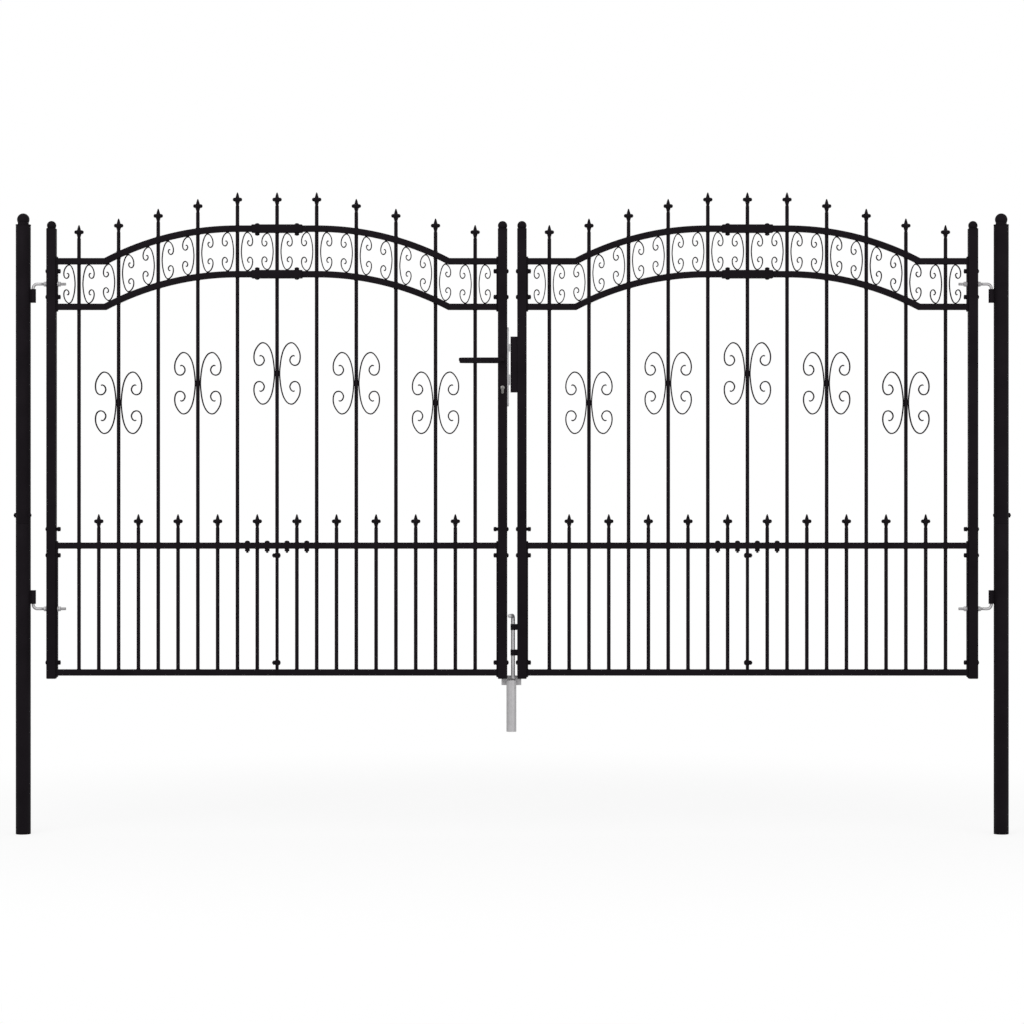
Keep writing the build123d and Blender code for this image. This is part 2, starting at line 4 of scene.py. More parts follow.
import bmesh
import bpy
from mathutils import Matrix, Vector


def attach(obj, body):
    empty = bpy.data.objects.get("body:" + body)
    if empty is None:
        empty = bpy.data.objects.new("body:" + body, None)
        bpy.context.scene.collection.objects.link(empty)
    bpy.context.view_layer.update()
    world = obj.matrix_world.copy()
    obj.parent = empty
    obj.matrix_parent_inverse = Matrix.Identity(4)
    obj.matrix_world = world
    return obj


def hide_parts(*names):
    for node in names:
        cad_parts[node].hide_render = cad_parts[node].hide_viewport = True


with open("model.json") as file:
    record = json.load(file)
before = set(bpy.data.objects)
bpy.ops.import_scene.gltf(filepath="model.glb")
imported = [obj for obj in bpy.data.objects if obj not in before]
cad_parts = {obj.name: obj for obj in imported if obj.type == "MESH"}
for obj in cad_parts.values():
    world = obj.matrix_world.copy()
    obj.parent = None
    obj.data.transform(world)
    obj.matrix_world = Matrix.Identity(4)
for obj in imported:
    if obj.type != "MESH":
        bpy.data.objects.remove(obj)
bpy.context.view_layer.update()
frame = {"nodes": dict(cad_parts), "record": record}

# The gate's looks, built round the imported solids. Lengths are in millimetres until a mesh is made.
MM = 0.001

# Sizes that repeat those of the solids
GATE_CENTRE, LEAF_GAP = 1970.0, 40.0
LEAF_LEFT, LEAF_RIGHT = 95.0, 1950.0
LEAF_CENTRE = (LEAF_LEFT + LEAF_RIGHT) / 2
LEAF_BOTTOM, STILE_TOP = 625.5, 2435.5
STILE, RAIL, PLATE = 38.0, 25.0, 6.0
HALF_CLEAR = (LEAF_RIGHT - LEAF_LEFT) / 2 - STILE
BOTTOM_RAIL, MID_RAIL = 650.5, 1161.5
LOWER_ARCH, UPPER_ARCH = 2123.5, 2307.0
ARCH_RISE = 131.4
ARCH_STRAIGHT_SHARE, ARCH_KINK_SHARE = 0.18, 0.778
ARCH_STRAIGHT = ARCH_STRAIGHT_SHARE * HALF_CLEAR
ARCH_RUN = ARCH_KINK_SHARE * HALF_CLEAR - ARCH_STRAIGHT
ARCH_RADIUS = (ARCH_RUN ** 2 + ARCH_RISE ** 2) / (2 * ARCH_RISE)
BAR, BARS_PER_HALF, BAR_EDGE_SHARE = 15.0, 5, 0.573
PITCH = HALF_CLEAR / (BARS_PER_HALF + BAR_EDGE_SHARE)
SPEAR = 56.0
SPEAR_RISES = (1.0, 1.0, 0.8, 0.5, 0.2, 0.0)
OUTER_SPEAR_REACH, SHORT_SPEAR_REACH = 146.3, 127.0
OUTER_TIP = UPPER_ARCH + OUTER_SPEAR_REACH
SHORT_TIP = MID_RAIL + SHORT_SPEAR_REACH
SLEEVE, SLEEVE_LENGTH = 33.0, 205.0
POST_RADIUS, POST_SPLICE, POST_TOP = 30.0, 1250.0, 2451.0
HINGE_AXIS, HINGE_DROP = 40.0, 20.0
LOCK_AXIS, LOCK_MIDDLE = 1931.0, 1881.5
LEVER_HEIGHT, CYLINDER_HEIGHT = 1908.0, 1797.0
DROP_AXIS = 1973.0

# Hinges: the barrel's end beside the rod's arm, its other end, and 1 for an arm above or -1 for one below
HINGES = ((2195.0, 2140.0, 1), (927.0, 982.0, -1))


# Outlines

CORNER_STEPS, BEND_STEPS = 4, 12


def arc(radius, start, turn, steps):
    """Points along an arc, from a starting angle through a turn."""
    angles = [start + turn * k / steps for k in range(steps + 1)]
    return [(radius * math.cos(a), radius * math.sin(a)) for a in angles]


def circle(radius, count):
    """Points round a circle."""
    return arc(radius, 0.0, 2 * math.pi, count)[:-1]


def rounded_rectangle(width, height, radius, steps=CORNER_STEPS):
    """Points round a rectangle with rounded corners."""
    points = []
    for corner, (sx, sy) in enumerate(((1, 1), (-1, 1), (-1, -1), (1, -1))):
        cx = sx * (width / 2 - radius)
        cy = sy * (height / 2 - radius)
        for k in range(steps + 1):
            a = math.pi / 2 * (corner + k / steps)
            points.append((cx + radius * math.cos(a), cy + radius * math.sin(a)))
    return points


def smooth_path(points, steps):
    """A smooth line through points, with so many steps from each to the next."""
    line = []
    last = len(points) - 1
    for k in range(last):
        near = [points[min(max(k + i, 0), last)] for i in (-1, 0, 1, 2)]
        for s in range(steps):
            t = s / steps
            weights = (
                (-t + 2 * t * t - t ** 3) / 2,
                (2 - 5 * t * t + 3 * t ** 3) / 2,
                (t + 4 * t * t - 3 * t ** 3) / 2,
                (t ** 3 - t * t) / 2,
            )
            line.append(tuple(sum(w * p[i] for w, p in zip(weights, near)) for i in (0, 1)))
    line.append(tuple(points[last]))
    return line


def quarter_bend(x, z, radius, sign=1):
    """A bend from upright at x to level at z, that rises for sign 1 and falls for sign -1."""
    quarter = arc(1.0, 0.0, math.pi / 2, BEND_STEPS)
    return [(x + radius * (1 - c), z - sign * radius * (1 - s)) for c, s in quarter]


def eased(low, high, ease):
    """(inset, place) pairs from one eased end to the other, with (inset, distance) pairs for an end."""
    start = [(inset, low + distance) for inset, distance in ease]
    end = [(inset, high - distance) for inset, distance in reversed(ease)]
    return start + end


# Parts of meshes, each a list of points and a list of faces

# No ring is smaller than this, so that the faces at a tip stay whole
SMALLEST_RING = 0.02
SMALLEST_CORNER, EASE_SHARE = 0.3, 0.3


def joined(parts):
    """Many parts as one."""
    points, faces = [], []
    for part_points, part_faces in parts:
        base = len(points)
        points.extend(part_points)
        faces.extend(tuple(base + i for i in face) for face in part_faces)
    return points, faces


def loft(rings):
    """Faces from each ring of points to the next, closed at both ends."""
    count = len(rings[0])
    points = [p for ring in rings for p in ring]
    faces = []
    for k in range(len(rings) - 1):
        a, b = k * count, (k + 1) * count
        for i in range(count):
            j = (i + 1) % count
            faces.append((a + i, a + j, b + j, b + i))
    faces.append(tuple(range(count - 1, -1, -1)))
    faces.append(tuple(range((len(rings) - 1) * count, len(rings) * count)))
    return points, faces


TURNS = {
    "+x": lambda x, y, z: (z, x, y),
    "-x": lambda x, y, z: (-z, -x, y),
    "+y": lambda x, y, z: (y, z, x),
    "-y": lambda x, y, z: (x, -z, y),
    "+z": lambda x, y, z: (x, y, z),
    "-z": lambda x, y, z: (x, -y, -z),
}
OPPOSITE = {"+x": "-x", "-x": "+x", "+z": "-z", "-z": "+z"}


def face_axis(side):
    """The axis out of the gate's front for side -1, and out of its back for side 1."""
    return "-y" if side < 0 else "+y"


def placed(part, origin, axis="+z"):
    """A part whose own Z axis is laid along an axis from an origin."""
    points, faces = part
    turn = TURNS[axis]
    moved = []
    for p in points:
        q = turn(*p)
        moved.append((origin[0] + q[0], origin[1] + q[1], origin[2] + q[2]))
    return moved, faces


def turned(profile, count):
    """A lathe shape from (radius, height) pairs."""
    rings = []
    for radius, height in profile:
        rings.append([(x, y, height) for x, y in circle(max(radius, SMALLEST_RING), count)])
    return loft(rings)


def slab(width, depth, length, radius, edge):
    """A bar of rounded rectangular section along Z, with eased ends."""
    rings = []
    part_way = edge * EASE_SHARE
    for inset, height in eased(0.0, length, ((edge, 0.0), (part_way, part_way), (0.0, edge))):
        corner = max(radius - inset, SMALLEST_CORNER)
        outline = rounded_rectangle(width - 2 * inset, depth - 2 * inset, corner)
        rings.append([(x, y, height) for x, y in outline])
    return loft(rings)


def swept(path, section, sizes=None):
    """A section of (across, along Y) points carried along a path in the X-Z plane, mitred at its points."""
    rings = []
    last = len(path) - 1
    for k, (x, z) in enumerate(path):
        runs = []
        for a, b in ((k - 1, k), (k, k + 1)):
            if 0 <= a and b <= last:
                dx, dz = path[b][0] - path[a][0], path[b][1] - path[a][1]
                span = math.hypot(dx, dz)
                runs.append((-dz / span, dx / span))
        n0, n1 = runs[0], runs[-1]
        scale = 1 / (1 + n0[0] * n1[0] + n0[1] * n1[1])
        nx, nz = (n0[0] + n1[0]) * scale, (n0[1] + n1[1]) * scale
        size = sizes[k] if sizes else 1.0
        rings.append([(x + nx * a * size, b * size, z + nz * a * size) for a, b in section])
    return loft(rings)


def ellipsoid(radii, count, rows):
    """An ellipsoid about its centre."""
    rings = []
    for up, out in arc(1.0, 0.0, math.pi, rows):
        r = max(out, SMALLEST_RING)
        rings.append([(radii[0] * r * c, radii[1] * r * s, -radii[2] * up) for c, s in circle(1.0, count)])
    return loft(rings)


# Weld beads

RING_STEPS, RING_SIDES = 20, 6
RING_RIPPLE, RING_RIPPLES = 0.12, 5
BEAD_STEP, BEAD_LEAST_STEPS, BEAD_SIDES = 3.0, 4, 8
BEAD_VALLEY, BEAD_CREST = 0.86, 1.06
BEAD_END, BEAD_TAPER = 0.35, 8


def bead_ring(radius, bead):
    """A small ring of weld round a bar that stands on the Z axis."""
    points, faces = [], []
    for i in range(RING_STEPS):
        a = 2 * math.pi * i / RING_STEPS
        size = bead * (1.0 + RING_RIPPLE * math.sin(RING_RIPPLES * a))
        for j in range(RING_SIDES):
            b = 2 * math.pi * j / RING_SIDES
            r = radius + size * math.cos(b)
            points.append((r * math.cos(a), r * math.sin(a), size * math.sin(b)))
    for i in range(RING_STEPS):
        here, beyond = i * RING_SIDES, (i + 1) % RING_STEPS * RING_SIDES
        for j in range(RING_SIDES):
            up = (j + 1) % RING_SIDES
            faces.append((here + j, beyond + j, beyond + up, here + up))
    return points, faces


def bead_line(start, end, radius, step=BEAD_STEP):
    """A rippled weld bead from one point to another."""
    a, b = Vector(start), Vector(end)
    along = b - a
    count = 2 * max(int(along.length / step), BEAD_LEAST_STEPS)
    side = along.orthogonal().normalized()
    other = along.normalized().cross(side)
    rings = []
    for k in range(count + 1):
        t = k / count
        ripple = BEAD_VALLEY if k % 2 else BEAD_CREST
        size = radius * ripple * min(1.0, BEAD_END + BEAD_TAPER * min(t, 1 - t))
        centre = a + along * t
        rings.append([tuple(centre + side * x + other * y) for x, y in circle(size, BEAD_SIDES)])
    return loft(rings)


def upright_bead(x, y, low, high, radius, step=BEAD_STEP):
    """A weld bead that runs straight up."""
    return bead_line((x, y, low), (x, y, high), radius, step)


# Fasteners, each standing on its own Z = 0 plane

CUP_SIDES, CUP_ROWS, CUP_FOOT_SHARE, CUP_RIM_SHARE = 24, 6, 0.97, 0.1
WASHER_SIDES, WASHER_EDGE, WASHER = 28, 0.4, 2.0
NUT_POINTS = 36
# Rings of a nut: share of its height, and largest radius as a share of half its width over flats
NUT_RINGS = ((0.0, 0.93), (0.12, 1.2), (0.88, 1.2), (1.0, 0.93))
NUT_HEIGHT_SHARE, NUT_THREAD_SHARE = 0.5, 0.6
THREAD_SIDES, THREAD_PITCH, THREAD_ROOT_SHARE = 18, 1.5, 0.88
THREAD_CREST_PLACE, THREAD_ROOT_PLACE = 0.25, 0.75
THREAD_TIP, THREAD_TIP_SHARE = 1.2, 0.8


def cup_head(diameter, height):
    """The domed head of a carriage bolt."""
    r = diameter / 2
    rows = [(r * CUP_FOOT_SHARE, 0.0), (r, height * CUP_RIM_SHARE)]
    for c, s in arc(1.0, 0.0, math.pi / 2, CUP_ROWS)[1:]:
        rows.append((r * c, height * (CUP_RIM_SHARE + (1 - CUP_RIM_SHARE) * s)))
    return turned(rows, CUP_SIDES)


def washer(outer, thickness):
    """A flat washer with eased edges."""
    r = outer / 2
    e = min(WASHER_EDGE, thickness / 3)
    return turned([(r - e, 0.0), (r, e), (r, thickness - e), (r - e, thickness)], WASHER_SIDES)


def hex_nut(flats, height):
    """A nut with chamfered corners."""
    rings = []
    for share, cut in NUT_RINGS:
        ring = []
        for i in range(NUT_POINTS):
            a = 2 * math.pi * i / NUT_POINTS
            off = (a % (math.pi / 3)) - math.pi / 6
            r = min(flats / 2 / math.cos(off), flats / 2 * cut)
            ring.append((r * math.cos(a), r * math.sin(a), height * share))
        rings.append(ring)
    return loft(rings)


def thread(diameter, length):
    """A threaded bolt end with a chamfered tip."""
    r = diameter / 2
    rows = [(r, 0.0)]
    count = max(int(length / THREAD_PITCH) - 1, 1)
    for k in range(count):
        rows.append((r, THREAD_PITCH * (k + THREAD_CREST_PLACE)))
        rows.append((r * THREAD_ROOT_SHARE, THREAD_PITCH * (k + THREAD_ROOT_PLACE)))
    rows += [(r, length - THREAD_TIP), (r * THREAD_TIP_SHARE, length)]
    return turned(rows, THREAD_SIDES)


def nut_set(size, washer_size, reach):
    """Washer, nut and the bolt's end, as one part."""
    height = size * NUT_HEIGHT_SHARE
    nut = placed(hex_nut(size, height), (0, 0, WASHER))
    end = placed(thread(size * NUT_THREAD_SHARE, reach - height), (0, 0, height))
    return joined([washer(washer_size, WASHER), nut, end])


def add_bolt(heads, nuts, sizes, axis, head_place, nut_place):
    """Adds a bolt's head, which faces along an axis, and the nut on its other end."""
    head_sizes, nut_sizes = sizes
    heads.append(placed(cup_head(*head_sizes), head_place, axis))
    nuts.append(placed(nut_set(*nut_sizes), nut_place, OPPOSITE[axis]))


# Leaf geometry shared with the solids

ARCH_STEPS = 24


def arch_height(flat, x):
    """Height of an arched rail's centre line at x from the leaf's centre."""
    run = max(abs(x) - ARCH_STRAIGHT, 0.0)
    if run >= ARCH_RUN:
        return flat
    return flat + ARCH_RISE - ARCH_RADIUS + math.sqrt(ARCH_RADIUS ** 2 - run ** 2)


def arch_slope(x):
    """Rise per unit of x of the arches."""
    run = abs(x) - ARCH_STRAIGHT
    if run <= 0 or run >= ARCH_RUN:
        return 0.0
    return math.copysign(run / math.sqrt(ARCH_RADIUS ** 2 - run ** 2), -x)


def arch_half_depth(x):
    """Half the upright depth of an arched rail where it slopes."""
    return RAIL / 2 * math.sqrt(1 + arch_slope(x) ** 2)


def arch_path(flat, x_end):
    """Centre line of an arched rail from one end of the leaf to the other."""
    half = []
    for k in range(ARCH_STEPS + 1):
        x = ARCH_STRAIGHT + ARCH_RUN * k / ARCH_STEPS
        half.append((x, arch_height(flat, x)))
    half.append((x_end, flat))
    left = [(LEAF_CENTRE - x, z) for x, z in reversed(half)]
    right = [(LEAF_CENTRE + x, z) for x, z in half]
    return left + right


def bar_places():
    """(x, spear tip height) of every bar, tall ones first."""
    places = []
    for k in range(-BARS_PER_HALF, BARS_PER_HALF + 1):
        places.append((LEAF_CENTRE + k * PITCH, OUTER_TIP + ARCH_RISE * SPEAR_RISES[abs(k)]))
    for k in range(-BARS_PER_HALF, BARS_PER_HALF):
        places.append((LEAF_CENTRE + (k + 0.5) * PITCH, SHORT_TIP))
    return places


# Frame and bars of the left leaf

RAIL_CORNER = 2.6
PLATE_OVERHANG, CENTRE_PLATE_GAP = 6.0, 0.3
BAR_SIDES, BAR_END, BAR_END_GAP, BAR_END_SHARE = 24, 1.0, 0.2, 0.93
BAR_WELD, BAR_WELD_STAND = 1.7, 0.4
FRAME_WELD, FRAME_WELD_INSET, FRAME_WELD_SINK_SHARE = 1.6, 2.0, 0.98
KINK_WELD, KINK_WELD_INSET, KINK_WELD_LEAN = 0.9, 1.5, 3.0
PLUG_LIP, PLUG_LENGTH, PLUG_STEP = 2.0, 6.0, 0.8
# Corner radius and eased edge of each slab
PLATE_EASE, SLEEVE_EASE, STILE_EASE, PLUG_EASE = (1.0, 1.0), (3.4, 2.6), (3.0, 0.6), (4.0, 2.4)


def rails():
    """Level and arched rails of square tube."""
    section = rounded_rectangle(RAIL, RAIL, RAIL_CORNER)
    end = HALF_CLEAR - PLATE
    for flat in (LOWER_ARCH, UPPER_ARCH):
        yield swept(arch_path(flat, end), section)
    level = ((MID_RAIL, -end, end), (BOTTOM_RAIL, -PLATE, -end), (BOTTOM_RAIL, PLATE, end))
    for z, start, stop in level:
        yield swept([(LEAF_CENTRE + start, z), (LEAF_CENTRE + stop, z)], section)


def plates():
    """Flat plates at the ends and at the centre of the half panels."""
    reach = RAIL / 2 + PLATE_OVERHANG
    spans = ((LOWER_ARCH - reach, UPPER_ARCH + reach), (BOTTOM_RAIL - reach, MID_RAIL + reach))
    for side in (-1, 1):
        x = LEAF_CENTRE + side * (HALF_CLEAR - PLATE / 2)
        for low, high in spans:
            end_plate = slab(PLATE, RAIL, high - low, *PLATE_EASE)
            yield placed(end_plate, (x, 0, low))
        x = LEAF_CENTRE + side * PLATE / 2
        width = PLATE - CENTRE_PLATE_GAP
        centre_plate = slab(width, RAIL, MID_RAIL - BOTTOM_RAIL, *PLATE_EASE)
        yield placed(centre_plate, (x, 0, BOTTOM_RAIL - RAIL / 2))


def on_centre(x):
    """Whether x is that of the leaf's centre bar."""
    return abs(x - LEAF_CENTRE) < BAR / 2


def bars():
    """Round upright bars."""
    outline = circle(BAR / 2, BAR_SIDES)
    for x, tip in bar_places():
        low = MID_RAIL + RAIL / 2 if on_centre(x) else BOTTOM_RAIL
        top = tip - SPEAR
        rings = []
        for share, z in ((1.0, low), (1.0, top - BAR_END), (BAR_END_SHARE, top - BAR_END_GAP)):
            rings.append([(x + px * share, py * share, z) for px, py in outline])
        yield loft(rings)


def bar_welds():
    """Weld rings where the bars pass the rails."""
    ring = bead_ring(BAR / 2 + BAR_WELD_STAND, BAR_WELD)
    for x, tip in bar_places():
        dx = x - LEAF_CENTRE
        heights = [MID_RAIL + RAIL / 2]
        if not on_centre(x):
            heights += [BOTTOM_RAIL + RAIL / 2, MID_RAIL - RAIL / 2]
        if tip > UPPER_ARCH:
            half = SLEEVE / 2 if on_centre(x) else arch_half_depth(dx)
            for flat in (LOWER_ARCH, UPPER_ARCH):
                middle = arch_height(flat, dx)
                heights += [middle - half, middle + half]
        for z in heights:
            yield placed(ring, (x, 0, z))


def frame_welds():
    """Weld beads between rails and plates, and at the arches' kinks."""
    half = RAIL / 2
    reach = half - FRAME_WELD_INSET
    kink_reach = half - KINK_WELD_INSET
    for side in (-1, 1):
        x = LEAF_CENTRE + side * (HALF_CLEAR - PLATE)
        for z in (BOTTOM_RAIL, MID_RAIL, LOWER_ARCH, UPPER_ARCH):
            for y in (-half * FRAME_WELD_SINK_SHARE, half * FRAME_WELD_SINK_SHARE):
                yield upright_bead(x, y, z - reach, z + reach, FRAME_WELD)
            for edge in (z - half, z + half):
                yield bead_line((x, -reach, edge), (x, reach, edge), FRAME_WELD)
        kink = LEAF_CENTRE + side * (ARCH_STRAIGHT + ARCH_RUN)
        lean = -side * KINK_WELD_LEAN
        for flat in (LOWER_ARCH, UPPER_ARCH):
            for y in (-half, half):
                start = (kink - lean, y, flat - kink_reach)
                end = (kink + lean, y, flat + kink_reach)
                yield bead_line(start, end, KINK_WELD)


def sleeves():
    """Square sleeves over the arched rails' meeting ends."""
    sleeve = slab(SLEEVE, SLEEVE, SLEEVE_LENGTH, *SLEEVE_EASE)
    for flat in (LOWER_ARCH, UPPER_ARCH):
        yield placed(sleeve, (LEAF_CENTRE - SLEEVE_LENGTH / 2, 0, flat + ARCH_RISE), "+x")


def stile(x_low):
    """A square tube stile with a plug in its lower end."""
    x = x_low + STILE / 2
    low = LEAF_BOTTOM + PLUG_LIP
    tube = slab(STILE, STILE, STILE_TOP - LEAF_BOTTOM - PLUG_LIP, *STILE_EASE)
    plug = slab(STILE - PLUG_STEP, STILE - PLUG_STEP, PLUG_LENGTH, *PLUG_EASE)
    yield placed(tube, (x, 0, low))
    yield placed(plug, (x, 0, LEAF_BOTTOM))


# Spearheads: (radius, height) pairs of the turned head, and of a lobe along its own axis

SPEAR_PROFILE = (
    (7.0, -1.2), (7.5, 0.0), (6.4, 2.4), (6.7, 8.0), (8.6, 15.0), (10.2, 22.0), (10.0, 29.5), (7.7, 36.4),
    (5.9, 43.0), (3.9, 50.0), (1.8, 55.0), (0.1, 56.0),
)
SPEAR_LOBE = ((8.3, 0.0), (7.8, 11.0), (6.8, 15.3), (3.8, 18.3), (0.1, 19.0))
SPEAR_STEPS, SPEAR_SIDES, SPEAR_LOBE_SIDES = 3, 28, 18
SPEAR_LOBE_HEIGHT = 27.0
SPEAR_LOBE_FLATNESS = 0.86


def spear():
    """A four-lobed spearhead on its own Z axis."""
    parts = [turned(smooth_path(SPEAR_PROFILE, SPEAR_STEPS), SPEAR_SIDES)]
    round_lobe = turned(smooth_path(SPEAR_LOBE, SPEAR_STEPS), SPEAR_LOBE_SIDES)
    points, faces = round_lobe
    flat_lobe = [(x * SPEAR_LOBE_FLATNESS, y, z) for x, y, z in points], faces
    for lobe, axis in ((flat_lobe, "+x"), (flat_lobe, "-x"), (round_lobe, "+y"), (round_lobe, "-y")):
        parts.append(placed(lobe, (0, 0, SPEAR_LOBE_HEIGHT), axis))
    return joined(parts)


def spears():
    """Every spearhead of the leaf."""
    head = spear()
    for x, tip in bar_places():
        yield placed(head, (x, 0, tip - SPEAR))


# Scrolls, as halves from the spine's middle outwards

SCROLL_DEPTH, SCROLL_CLEARANCE = 12.0, 0.3
SCROLL_CORNER_SHARE, SCROLL_CORNER_STEPS = 0.32, 2
SCROLL_TIP_SHARE, SCROLL_TAPER_STEPS = 0.72, 6

# Between the arches: across from the spine, and a share of half the height
BAND_SPINE, BAND_CROWN, BAND_THICKNESS, BAND_STEPS = 15.8, 24.0, 4.0, 5
BAND_SCROLL = (
    (0.0, 0.0), (0.8, 0.2), (3.2, 0.46), (8.5, 0.74), (15.5, 0.93), (24.0, 1.0), (33.5, 0.935), (40.8, 0.8),
    (44.8, 0.63), (44.9, 0.46), (41.0, 0.34), (34.0, 0.3), (27.5, 0.36), (25.0, 0.47), (28.5, 0.56),
    (33.0, 0.545),
)
# Height that a scroll gives up for each unit of slope, so that its crown clears both rails
BAND_SLOPE_ROOM = 5.0
SPOT_RADII, SPOT_SIDES, SPOT_ROWS, SPOT_SINK = (5.5, 4.5, 2.4), 12, 6, 0.5

# On the bars: across from the bar's axis, and up from the middle
PAIR_THICKNESS, PAIR_STEPS = 5.0, 6
PAIR_MIDDLE = 1737.0
PAIR_RISES = (0.9, 0.6, 0.0)
PAIR_SCROLL = (
    (10.4, 0.0), (12.7, 33.0), (18.0, 68.0), (26.8, 96.0), (40.3, 116.2), (56.0, 123.6), (69.0, 119.4),
    (81.6, 104.6), (90.4, 86.0), (93.2, 66.0), (90.6, 48.0), (82.8, 36.2), (70.6, 32.6), (58.6, 38.0),
    (51.6, 52.0), (56.0, 66.0), (65.0, 71.8), (71.0, 69.6),
)
PAIR_WELD, PAIR_WELD_REACH = 1.7, 11.0
PAIR_WELD_ACROSS, PAIR_WELD_DEPTH = 8.6, 4.5


def whole_scroll(half, steps):
    """Both halves of a scroll as one smooth line, from end to end."""
    points = [(x, -z) for x, z in reversed(half[1:])] + list(half)
    return smooth_path(points, steps)


def scroll_bar(path, thickness):
    """A flat bar with eased corners along a scroll's line, thinned to its ends."""
    corner = thickness * SCROLL_CORNER_SHARE
    section = rounded_rectangle(thickness, SCROLL_DEPTH, corner, SCROLL_CORNER_STEPS)
    last = len(path) - 1
    sizes = []
    for k in range(last + 1):
        way_in = min(k, last - k) / SCROLL_TAPER_STEPS
        sizes.append(min(1.0, SCROLL_TIP_SHARE + (1 - SCROLL_TIP_SHARE) * way_in))
    return swept(path, section, sizes)


def band_scroll_place(step, side):
    """(crown x, middle height, half height) of a scroll between the arches."""
    crown = step * PITCH + side * (BAND_SPINE + BAND_CROWN)
    half = SLEEVE / 2 if abs(crown) < SLEEVE_LENGTH / 2 else arch_half_depth(crown)
    room = (UPPER_ARCH - LOWER_ARCH) / 2 - half - SCROLL_CLEARANCE
    middle = (arch_height(UPPER_ARCH, crown) + arch_height(LOWER_ARCH, crown)) / 2
    return crown, middle, room - abs(arch_slope(crown)) * BAND_SLOPE_ROOM


def band_scrolls():
    """Scrolls on both sides of every bar, between the arches, with their weld spots."""
    weld_spot = ellipsoid(SPOT_RADII, SPOT_SIDES, SPOT_ROWS)
    for step in range(-BARS_PER_HALF, BARS_PER_HALF + 1):
        for side in (-1, 1):
            crown, middle, room = band_scroll_place(step, side)
            spine = LEAF_CENTRE + step * PITCH + side * BAND_SPINE
            reach = room - BAND_THICKNESS / 2
            path = whole_scroll([(x, z * reach) for x, z in BAND_SCROLL], BAND_STEPS)
            yield scroll_bar([(spine + side * x, middle + z) for x, z in path], BAND_THICKNESS)
            for end in (-1, 1):
                spot = (LEAF_CENTRE + crown, 0, middle + end * (room - SPOT_SINK))
                yield placed(weld_spot, spot)


def bar_scrolls():
    """Pairs of tall scrolls on every second bar, with the welds that hold them."""
    path = whole_scroll(PAIR_SCROLL, PAIR_STEPS)
    for step in range(-BARS_PER_HALF + 1, BARS_PER_HALF, 2):
        middle = PAIR_MIDDLE + ARCH_RISE * PAIR_RISES[abs(step) // 2]
        low, high = middle - PAIR_WELD_REACH, middle + PAIR_WELD_REACH
        x0 = LEAF_CENTRE + step * PITCH
        for side in (-1, 1):
            yield scroll_bar([(x0 + side * x, middle + z) for x, z in path], PAIR_THICKNESS)
            x = x0 + side * PAIR_WELD_ACROSS
            for y in (-PAIR_WELD_DEPTH, PAIR_WELD_DEPTH):
                yield upright_bead(x, y, low, high, PAIR_WELD)


# Caps with balls

BALL_SIDES, BALL_ROWS, BALL_SEAT_TOP = 40, 20, 2.2
# Hollow round a ball's seat: radius past the seat, and height
BALL_SEAT = ((2.6, 0.0), (1.2, 0.5), (0.5, 1.5))
STILE_BALL, STILE_BALL_SINK, STILE_CAP = 37.5, 6.5, 3.0
# Rings of a stile's cap plate: width, corner radius and height
STILE_CAP_RINGS = ((38.0, 3.0, 0.0), (38.6, 3.2, 0.4), (38.6, 3.2, 1.6), (36.0, 4.0, 3.0), (31.0, 8.0, 5.5))
POST_BALL, POST_BALL_SINK, POST_CAP = 50.0, 5.0, 4.0
POST_DISC = ((30.2, 0.0), (31.0, 0.8), (31.0, 2.8), (30.0, 3.9), (24.0, 4.2))
POST_NECK = ((24.0, 4.0), (22.6, 4.6), (22.0, 6.0), (22.0, 14.0), (20.0, 22.0))
POST_SIDES, POST_NECK_SIDES = 64, 48


def ball_cap(x, base, ball_diameter, sink):
    """A ball that sits a little way into its base, with a soft hollow round its seat."""
    r = ball_diameter / 2
    centre = r - sink
    seat = math.sqrt(r * r - centre * centre)
    rows = [(seat + past, height) for past, height in BALL_SEAT]
    low = math.acos(min((centre - BALL_SEAT_TOP) / r, 1.0))
    rows += [(out, centre - down) for down, out in arc(r, low, math.pi - low, BALL_ROWS)]
    return placed(turned(rows, BALL_SIDES), (x, 0, base))


def stile_caps():
    """Square plates with balls on both stiles."""
    for x_low in (LEAF_LEFT, LEAF_RIGHT - STILE):
        x = x_low + STILE / 2
        rings = []
        for width, radius, z in STILE_CAP_RINGS:
            outline = rounded_rectangle(width, width, radius)
            rings.append([(x + px, py, STILE_TOP + z) for px, py in outline])
        yield loft(rings)
        yield ball_cap(x, STILE_TOP + STILE_CAP, STILE_BALL, STILE_BALL_SINK)


def post_cap():
    """Disc, neck and ball on a post."""
    yield placed(turned(POST_DISC, POST_SIDES), (0, 0, POST_TOP))
    yield placed(turned(POST_NECK, POST_NECK_SIDES), (0, 0, POST_TOP))
    yield ball_cap(0, POST_TOP + POST_CAP, POST_BALL, POST_BALL_SINK)


# Bolts: diameter and height of the head, then width over flats, washer and reach of the nut

STILE_BOLT = ((18.0, 6.0), (17.5, 20.0, 11.8))
SLEEVE_BOLT = ((19.0, 6.0), (16.0, 20.0, 11.5))
RAIL_BOLT = ((21.0, 8.0), (17.0, 20.0, 16.5))
CENTRE_BOLT = ((21.0, 8.4), (17.0, 20.0, 13.5))
POST_BOLT = ((20.0, 9.0), (19.0, 22.0, 15.5))
# Height of each bolt in the stiles, and whether a plate is there
STILE_BOLTS = ((2267.0, True), (2163.0, True), (1228.0, False), (1122.5, True), (690.5, True))
SPACER, SPACER_OVERLAP = 14.0, 0.2
